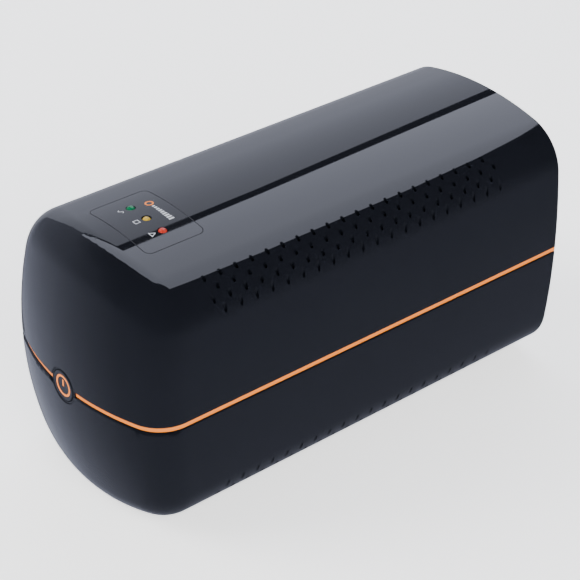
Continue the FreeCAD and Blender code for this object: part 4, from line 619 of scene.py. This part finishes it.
def noise_node(tree, place, scale, detail=3.0, rough=0.55):
    """Cloudy noise whose cells are about one over scale of a metre across."""
    node = tree.nodes.new("ShaderNodeTexNoise")
    node.inputs["Scale"].default_value = scale
    node.inputs["Detail"].default_value = detail
    node.inputs["Roughness"].default_value = rough
    tree.links.new(place, node.inputs["Vector"])
    return node.outputs["Fac"]


def vary(tree, fac, low, high):
    """Turns a pattern of 0 to 1 into a range of numbers."""
    node = tree.nodes.new("ShaderNodeMapRange")
    node.inputs["From Min"].default_value = 0.3
    node.inputs["From Max"].default_value = 0.7
    node.inputs["To Min"].default_value = low
    node.inputs["To Max"].default_value = high
    tree.links.new(fac, node.inputs["Value"])
    return node.outputs["Result"]


def blend_colours(tree, fac, first, second):
    """A colour between two by a pattern."""
    node = tree.nodes.new("ShaderNodeMix")
    node.data_type = "RGBA"
    node.inputs["A"].default_value = (*first, 1)
    node.inputs["B"].default_value = (*second, 1)
    tree.links.new(fac, node.inputs["Factor"])
    return node.outputs["Result"]


def raise_surface(tree, shader, height, strength, distance):
    """Bump from a pattern: distance is the depth in metres."""
    node = tree.nodes.new("ShaderNodeBump")
    node.inputs["Strength"].default_value = strength
    node.inputs["Distance"].default_value = distance
    tree.links.new(height, node.inputs["Height"])
    tree.links.new(node.outputs["Normal"], shader.inputs["Normal"])


def plastic(name, colour, roughness, grain=2500, depth=0.01 * MM, spread=0.15, ior=1.5):
    """Moulded plastic: a little uneven in colour and gloss, with the grain of its mould."""
    material, tree, shader, place = new_finish(name, roughness, ior=ior)
    cloud = noise_node(tree, place, 60)
    darker = tuple(channel * (1 - spread) for channel in colour)
    lighter = tuple(min(1, channel * (1 + spread)) for channel in colour)
    tree.links.new(blend_colours(tree, cloud, darker, lighter), shader.inputs["Base Color"])
    fine = noise_node(tree, place, grain)
    tree.links.new(vary(tree, cloud, roughness * 0.85, roughness * 1.15), shader.inputs["Roughness"])
    raise_surface(tree, shader, fine, 0.5, depth)
    return material


def metal(name, colour, roughness, stretch=(1, 1, 8)):
    """Drawn or plated metal: noise pulled out along one axis makes faint drawing lines."""
    material, tree, shader, place = new_finish(name, roughness, metallic=1.0)
    mapping = tree.nodes.new("ShaderNodeMapping")
    mapping.inputs["Scale"].default_value = stretch
    tree.links.new(place, mapping.inputs["Vector"])
    lines = noise_node(tree, mapping.outputs["Vector"], 900)
    dull = tuple(channel * 0.8 for channel in colour)
    tree.links.new(blend_colours(tree, lines, dull, colour), shader.inputs["Base Color"])
    tree.links.new(vary(tree, lines, roughness * 0.7, roughness * 1.3), shader.inputs["Roughness"])
    raise_surface(tree, shader, lines, 0.3, 0.01 * MM)
    return material


print("finish helpers", plastic.__name__, "and", metal.__name__)

# %% [markdown]
# ## The finishes that show most
# The glossy plastic is nearly black with a faint blue cast; its ripple is so shallow that it only softens
# the ends of the reflections. The film has a clear coat of its own, the lenses are tinted resin, and the
# other plastics have the fine grain of an etched mould.


# %% Glossy black, film, orange, ink and lenses
def gloss_black():
    """High-gloss plastic: broad shallow ripples from moulding, and faint wiping marks in the gloss."""
    material, tree, shader, place = new_finish("gloss black plastic", 0.03, ior=1.5)
    cloud = noise_node(tree, place, 25)
    tree.links.new(blend_colours(tree, cloud, (0.0035, 0.004, 0.0058), (0.0045, 0.005, 0.0072)),
                   shader.inputs["Base Color"])
    tree.links.new(vary(tree, noise_node(tree, place, 140, 6.0), 0.02, 0.04), shader.inputs["Roughness"])
    raise_surface(tree, shader, noise_node(tree, place, 45, 1.0), 0.04, 0.02 * MM)
    return material


def printed_film():
    """Clear hard coat over a black back print."""
    material, tree, shader, place = new_finish("display film", 0.08)
    cloud = noise_node(tree, place, 40)
    tree.links.new(blend_colours(tree, cloud, (0.005, 0.0055, 0.007), (0.006, 0.0065, 0.009)),
                   shader.inputs["Base Color"])
    tree.links.new(vary(tree, noise_node(tree, place, 400, 4.0), 0.03, 0.06), shader.inputs["Roughness"])
    return material


def lens(name, colour):
    """Tinted diffusing resin of a small lamp, a little light inside it even when it is off."""
    material, tree, shader, place = new_finish(name, 0.18, ior=1.5)
    cloud = noise_node(tree, place, 500)
    deep = tuple(channel * 0.55 for channel in colour)
    tree.links.new(blend_colours(tree, cloud, deep, colour), shader.inputs["Base Color"])
    tree.links.new(blend_colours(tree, cloud, deep, colour), shader.inputs["Emission Color"])
    shader.inputs["Emission Strength"].default_value = 0.12
    shader.inputs["Subsurface Weight"].default_value = 0.2
    shader.inputs["Subsurface Radius"].default_value = (0.002, 0.002, 0.002)
    return material


finish = {
    "gloss": gloss_black(), "film": printed_film(),
    "orange": plastic("orange trim", (0.66, 0.165, 0.006), 0.36, spread=0.05),
    # painted shade: matte black for the strip over the shadowed gap round the film
    "painted gap shade": plastic("matte black gap shade paint", (0.004, 0.004, 0.005), 0.6, grain=6000, depth=0.003 * MM),
    "ink": plastic("white ink", (0.52, 0.54, 0.57), 0.5, grain=6000, depth=0.003 * MM, spread=0.04),
    "green": lens("green lamp", (0.004, 0.13, 0.05)), "amber": lens("amber lamp", (0.50, 0.33, 0.03)),
    "red": lens("red lamp", (0.50, 0.035, 0.02)),
    "satin": plastic("satin black plastic", (0.016, 0.017, 0.019), 0.42, grain=1800, depth=0.03 * MM),
    "panel": plastic("rear panel plastic", (0.022, 0.023, 0.026), 0.5, grain=1500, depth=0.04 * MM),
    "shutter": plastic("shutter plastic", (0.34, 0.35, 0.36), 0.4),
    "rubber": plastic("foot rubber", (0.03, 0.03, 0.031), 0.8, grain=1200, depth=0.05 * MM),
    "battery": plastic("battery case plastic", (0.05, 0.055, 0.065), 0.45, grain=900, depth=0.04 * MM),
    "bobbin": plastic("bobbin nylon", (0.03, 0.03, 0.032), 0.5),
    "relay": plastic("relay case", (0.022, 0.024, 0.03), 0.35),
    "chip": plastic("chip resin", (0.02, 0.02, 0.022), 0.55),
    "sleeve": plastic("capacitor sleeve", (0.02, 0.03, 0.09), 0.3),
    "white": plastic("natural nylon", (0.7, 0.69, 0.63), 0.45),
    "glass": plastic("fuse body", (0.6, 0.62, 0.6), 0.15),
    "red lead": plastic("red lead", (0.5, 0.02, 0.015), 0.4),
    "black lead": plastic("black lead", (0.02, 0.02, 0.02), 0.4),
    "steel": metal("zinc plated steel", (0.62, 0.62, 0.6), 0.32),
    "brass": metal("brass", (0.72, 0.52, 0.24), 0.28),
    "nickel": metal("nickel plate", (0.66, 0.64, 0.6), 0.24),
    "aluminium": metal("aluminium", (0.7, 0.71, 0.72), 0.38),
    "dark steel": metal("black oxide steel", (0.07, 0.07, 0.075), 0.45),
}
print("finishes so far", len(finish))

# %% [markdown]
# ## Patterned finishes
# The core is a stack of thin sheets, the winding is layers of enamelled wire and the boards are lacquered
# over copper tracks. Each wire or track could be modelled, but none of them shows through the case, so a
# band or cell pattern in the material is enough.


# %% Copper winding, laminated core and circuit board
def banded(name, dark, light, scale, direction, roughness, metallic, depth):
    """Fine even bands along one axis, for stacked sheets and wound wire."""
    material, tree, shader, place = new_finish(name, roughness, metallic)
    wave = tree.nodes.new("ShaderNodeTexWave")
    wave.bands_direction = direction
    wave.inputs["Scale"].default_value = scale
    wave.inputs["Distortion"].default_value = 0.4
    tree.links.new(place, wave.inputs["Vector"])
    tree.links.new(blend_colours(tree, wave.outputs["Fac"], dark, light), shader.inputs["Base Color"])
    raise_surface(tree, shader, wave.outputs["Fac"], 0.6, depth)
    return material


def circuit_board():
    """Green lacquer over a faint pattern of tracks: a cell pattern shows as slightly lighter lines."""
    material, tree, shader, place = new_finish("circuit board", 0.35)
    cells = tree.nodes.new("ShaderNodeTexVoronoi")
    cells.distance = "MANHATTAN"
    cells.inputs["Scale"].default_value = 260
    tree.links.new(place, cells.inputs["Vector"])
    tree.links.new(blend_colours(tree, cells.outputs["Distance"], (0.008, 0.07, 0.03), (0.02, 0.14, 0.06)),
                   shader.inputs["Base Color"])
    raise_surface(tree, shader, cells.outputs["Distance"], 0.3, 0.03 * MM)
    return material


finish["core"] = banded("laminated core", (0.05, 0.05, 0.055), (0.16, 0.16, 0.17), 320, "Y", 0.5, 0.7,
                        0.05 * MM)
finish["winding"] = banded("enamelled wire", (0.22, 0.07, 0.02), (0.55, 0.22, 0.08), 420, "Z", 0.35, 0.6,
                           0.1 * MM)
finish["board"] = circuit_board()
print("finishes with patterns", len(finish))

# %% [markdown]
# ## Which part has which finish
# Every node of the CAD model gets the finish of its real material, by a table of names, and the parts
# that are not in the table are screws, boards or plain dark plastic. The new pieces are given theirs one
# by one.

# %% Give every node and piece its finish
node_finish = {
    "case_screws": "dark steel", "rubber_feet": "rubber", "mains_lamp": "green",
    "battery_lamp": "amber", "fault_lamp": "red", "switch_plunger": "white", "button_spring": "nickel",
    "switch_body": "chip", "battery_case": "battery", "battery_lid": "battery",
    "battery_terminals": "brass", "battery_strap": "steel", "battery_connectors": "white",
    "red_lead": "red lead", "black_lead": "black lead", "transformer_core": "core",
    "transformer_bobbin": "bobbin", "transformer_winding": "winding", "transformer_clamp": "steel",
    "heat_sink": "aluminium", "power_transistors": "chip", "relays": "relay", "capacitors": "sleeve",
    "control_chip": "chip", "buzzer": "chip", "fuse": "glass", "fuse_clips": "nickel",
    "board_headers": "white", "rear_panel": "panel", "left_outlet": "satin", "right_outlet": "satin",
    "outlet_covers": "satin", "outlet_contacts": "brass", "earth_clips": "nickel",
    "left_shutter": "shutter", "right_shutter": "shutter", "mains_inlet": "satin",
    "inlet_pins": "nickel", "breaker_body": "chip", "breaker_nut": "satin", "reset_button": "shutter",
    "data_ports": "satin", "usb_port": "nickel",
}
for name, node in nodes.items():
    usual = "steel" if "screw" in name else "board" if name.endswith("board") else "satin"
    kind = node_finish.get(name, usual)
    node.data.materials.clear()
    node.data.materials.append(finish[kind])

finished = [(top_skin, "gloss"), (bottom_skin, "gloss"), (film_skin, "film"), (cap, "gloss"),
            (sleeve, "gloss"), (right_band, "orange"), (left_band, "orange"), (ring, "orange"), (bar, "orange"),
            # painted shade: the border strip over the film's shadowed gap gets the matte black finish
            (film_mark, "orange"), (border, "painted gap shade"), *((mark, "ink") for mark in marks)]
for piece, kind in finished:
    piece.data.materials.clear()
    piece.data.materials.append(finish[kind])
print("finishes", len(finish))

# %% [markdown]
# ## Stage, light and camera
# A glossy black thing shows its surroundings more than itself. Its stage is a floor that sweeps up into a
# curved backdrop, with no corner to show. A plane would do for the floor alone. Both are pale and are
# kept out of the reflections, which see the dim surround instead.


# %% Floor and backdrop
def backdrop(reach=4.5, bend=1.5, height=3.0, steps=96):
    """A disc whose rim sweeps up in a quarter circle to an upright wall, turned about the vertical axis."""
    turn = np.linspace(0, math.pi / 2, 12)
    pairs = [[0.0, 0.0], *np.column_stack([reach + bend * np.sin(turn), bend - bend * np.cos(turn)]).tolist(),
             [reach + bend, height]]
    return turned_form((0, 0, 0), (0, 0, 1), pairs, steps)


points, faces = backdrop()
FLOOR_GLOW = 1.2
floor_mesh = bpy.data.meshes.new("studio_floor")
floor_mesh.from_pydata(points.tolist(), [], [tuple(int(k) for k in face) for face in faces])
floor = bpy.data.objects.new("studio_floor", floor_mesh)
bpy.context.scene.collection.objects.link(floor)
floor_finish, tree, shader, place = new_finish("studio floor", 0.9)
shader.inputs["Specular IOR Level"].default_value = 0.0
shader.inputs["Base Color"].default_value = (0.9, 0.9, 0.9, 1)
shader.inputs["Emission Color"].default_value = (1, 1, 1, 1)
shader.inputs["Emission Strength"].default_value = FLOOR_GLOW
floor.data.materials.append(floor_finish)
floor.visible_glossy = False
print("floor faces", len(floor_mesh.polygons))

# %% [markdown]
# ## Soft boxes
# Two broad soft boxes hang behind and above the case with a narrow gap between them: the gap draws the
# dark line along the top, and the front edge of the right box draws the crisp corner behind the nose.
# Area lights could light it, but they have no free outline, so the boxes are flat panels that glow. Two
# area lights fill the front and are hidden from reflections.


# %% Glowing panels and fill lights
def light_up(name, centre, look_at, width, depth, radiance):
    """A rectangular light of a given brightness, hidden from reflections; its power follows from its area."""
    light = bpy.data.lights.new(name, "AREA")
    light.shape = "RECTANGLE"
    light.size, light.size_y = width, depth
    light.energy = radiance * width * depth * math.pi
    lamp = bpy.data.objects.new(name, light)
    bpy.context.scene.collection.objects.link(lamp)
    aim = Vector(centre) - Vector(look_at)
    lamp.matrix_world = Matrix.Translation(centre) @ aim.to_track_quat("Z", "Y").to_matrix().to_4x4()
    lamp.visible_glossy = False
    return lamp


def glowing_panel(name, corners, strength, colour, lights_floor=True):
    """A flat panel of any outline that gives light: its strength may change with height, from low to high."""
    mesh = bpy.data.meshes.new(name)
    mesh.from_pydata(corners, [], [tuple(range(len(corners)))])
    panel = bpy.data.objects.new(name, mesh)
    bpy.context.scene.collection.objects.link(panel)
    glow, tree, shader, place = new_finish(name, 1.0)
    split = tree.nodes.new("ShaderNodeSeparateXYZ")
    tree.links.new(place, split.inputs["Vector"])
    level = tree.nodes.new("ShaderNodeMapRange")
    heights = [corner[2] for corner in corners]
    level.inputs["From Min"].default_value = min(heights) - MM
    level.inputs["From Max"].default_value = max(heights) + MM
    level.inputs["To Min"].default_value, level.inputs["To Max"].default_value = strength
    tree.links.new(split.outputs["Z"], level.inputs["Value"])
    shader.inputs["Base Color"].default_value = (0, 0, 0, 1)
    shader.inputs["Specular IOR Level"].default_value = 0.0
    shader.inputs["Emission Color"].default_value = (*colour, 1)
    tree.links.new(level.outputs["Result"], shader.inputs["Emission Strength"])
    panel.data.materials.append(glow)
    panel.visible_camera = False
    panel.visible_diffuse = lights_floor
    panel.visible_shadow = False
    return panel


BOX_HEIGHT = 1.50
WALL_X, WALL_Y, WALL_END, WALL_FOOT = -4.5, 0.28, 8.0, -3.0
RIGHT_PLAN = ((-1.80, 0.07), (-0.32, 0.08), (0.06, 0.42), (0.33, 0.66), (0.42, 0.82), (0.42, 1.10),
              (0.30, 1.21), (0.10, 1.28), (-0.16, 1.34), (-0.50, 1.48), (-0.80, 1.90), (-1.39, 1.90),
              (-1.35, 1.70), (-1.23, 1.13), (-1.20, 0.83), (-1.42, 0.50), (-1.78, 0.20))
LEFT_PLAN = ((-1.36, 0.88), (-1.38, 1.20), (-1.56, 1.84), (-1.90, 3.00), (-1.90, 8.00), (WALL_X, WALL_END),
             (WALL_X, WALL_Y), (-1.95, 0.28), (-1.53, 0.60))
WALL = ((WALL_X, WALL_Y, WALL_FOOT), (WALL_X, WALL_Y, BOX_HEIGHT), (WALL_X, WALL_END, BOX_HEIGHT),
        (WALL_X, WALL_END, WALL_FOOT))
BLUE_WHITE = (0.90, 0.94, 1.12)
RIGHT_GLOW, LEFT_GLOW, WALL_GLOW, FILL_RADIANCE = (2.6, 2.6), (1.25, 1.25), (0.25, 1.2), 10.0
CASE_CENTRE = (0, 0, 0.08)
glowing_panel("right_soft_box", [(x, y, BOX_HEIGHT) for x, y in RIGHT_PLAN], RIGHT_GLOW, BLUE_WHITE)
glowing_panel("left_soft_box", [(x, y, BOX_HEIGHT) for x, y in LEFT_PLAN], LEFT_GLOW, BLUE_WHITE)
glowing_panel("left_wall", WALL, WALL_GLOW, BLUE_WHITE, lights_floor=False)
light_up("fill_right", (1.6, -0.6, 1.2), CASE_CENTRE, 1.2, 1.2, FILL_RADIANCE)
light_up("fill_left", (-1.2, -1.6, 1.3), CASE_CENTRE, 1.4, 1.4, FILL_RADIANCE)
print("corners of the soft boxes", len(RIGHT_PLAN), len(LEFT_PLAN))

# %% [markdown]
# ## The dim surround
# Whatever the soft boxes leave free is seen in the gloss as well. An even grey would make the case flat,
# so the surround is almost dark, with a weak glow from below and one from the left that stops short of
# the far side.


# %% The dim surround
def clamped_ramp(tree, value, start, end):
    """0 at start and 1 at end, flat beyond them."""
    node = tree.nodes.new("ShaderNodeMapRange")
    node.inputs["From Min"].default_value = start
    node.inputs["From Max"].default_value = end
    tree.links.new(value, node.inputs["Value"])
    return node.outputs["Result"]


def arithmetic(tree, operation, first, second):
    """One sum or product of two values, either of which may be a plain number."""
    node = tree.nodes.new("ShaderNodeMath")
    node.operation = operation
    for socket, value in zip(node.inputs, (first, second)):
        if isinstance(value, float):
            socket.default_value = value
        else:
            tree.links.new(value, socket)
    return node.outputs["Value"]


surround = bpy.data.worlds.new("surround")
bpy.context.scene.world = surround
surround.use_nodes = True
tree = surround.node_tree
sky = tree.nodes["Background"]
direction = tree.nodes.new("ShaderNodeTexCoord").outputs["Generated"]
split = tree.nodes.new("ShaderNodeSeparateXYZ")
tree.links.new(direction, split.inputs["Vector"])
BASE_GLOW, BELOW_GLOW, LEFT_SIDE_GLOW = 0.06, 0.20, 0.38
below = clamped_ramp(tree, split.outputs["Z"], 0.15, -0.50)
leftward = arithmetic(tree, "MULTIPLY", clamped_ramp(tree, split.outputs["X"], -0.3, -0.8),
                      clamped_ramp(tree, split.outputs["Z"], 0.92, 0.55))
leftward = arithmetic(tree, "MULTIPLY", leftward, clamped_ramp(tree, split.outputs["Y"], 0.35, 0.15))
glow = arithmetic(tree, "ADD", arithmetic(tree, "MULTIPLY", below, BELOW_GLOW),
                  arithmetic(tree, "MULTIPLY", leftward, LEFT_SIDE_GLOW))
tree.links.new(arithmetic(tree, "ADD", glow, BASE_GLOW), sky.inputs["Strength"])
sky.inputs["Color"].default_value = (0.90, 0.95, 1.2, 1)
print("surround strengths", BASE_GLOW, BELOW_GLOW, LEFT_SIDE_GLOW)

# %% [markdown]
# ## Camera
# The camera looks down on the case from its front right corner. It is placed by three angles and a
# distance from the middle of the case, which is easier to adjust than three coordinates and a target.

# %% Place the camera
CAMERA_AZIMUTH, CAMERA_ELEVATION = math.radians(50.66), math.radians(33.33)
CAMERA_ROLL, CAMERA_DISTANCE = math.radians(0.32), 0.990
LENS, SENSOR, SHIFT = 113.3, 36, (0.0091, -0.0071)
back = Vector((math.sin(CAMERA_AZIMUTH) * math.cos(CAMERA_ELEVATION),
               -math.cos(CAMERA_AZIMUTH) * math.cos(CAMERA_ELEVATION), math.sin(CAMERA_ELEVATION)))
right = Vector((math.cos(CAMERA_AZIMUTH), math.sin(CAMERA_AZIMUTH), 0))
up = back.cross(right)
tilted_right = right * math.cos(CAMERA_ROLL) + up * math.sin(CAMERA_ROLL)
tilted_up = up * math.cos(CAMERA_ROLL) - right * math.sin(CAMERA_ROLL)
lens_data = bpy.data.cameras.new("camera")
lens_data.lens = LENS
lens_data.sensor_width = SENSOR
lens_data.shift_x, lens_data.shift_y = SHIFT
camera = bpy.data.objects.new("camera", lens_data)
bpy.context.scene.collection.objects.link(camera)
camera.matrix_world = Matrix.Translation(Vector((0, 0, MIDDLE)) + back * CAMERA_DISTANCE) @ \
    Matrix((tilted_right, tilted_up, back)).transposed().to_4x4()
bpy.context.scene.camera = camera
print("camera lens in mm", LENS, "distance in m", CAMERA_DISTANCE)
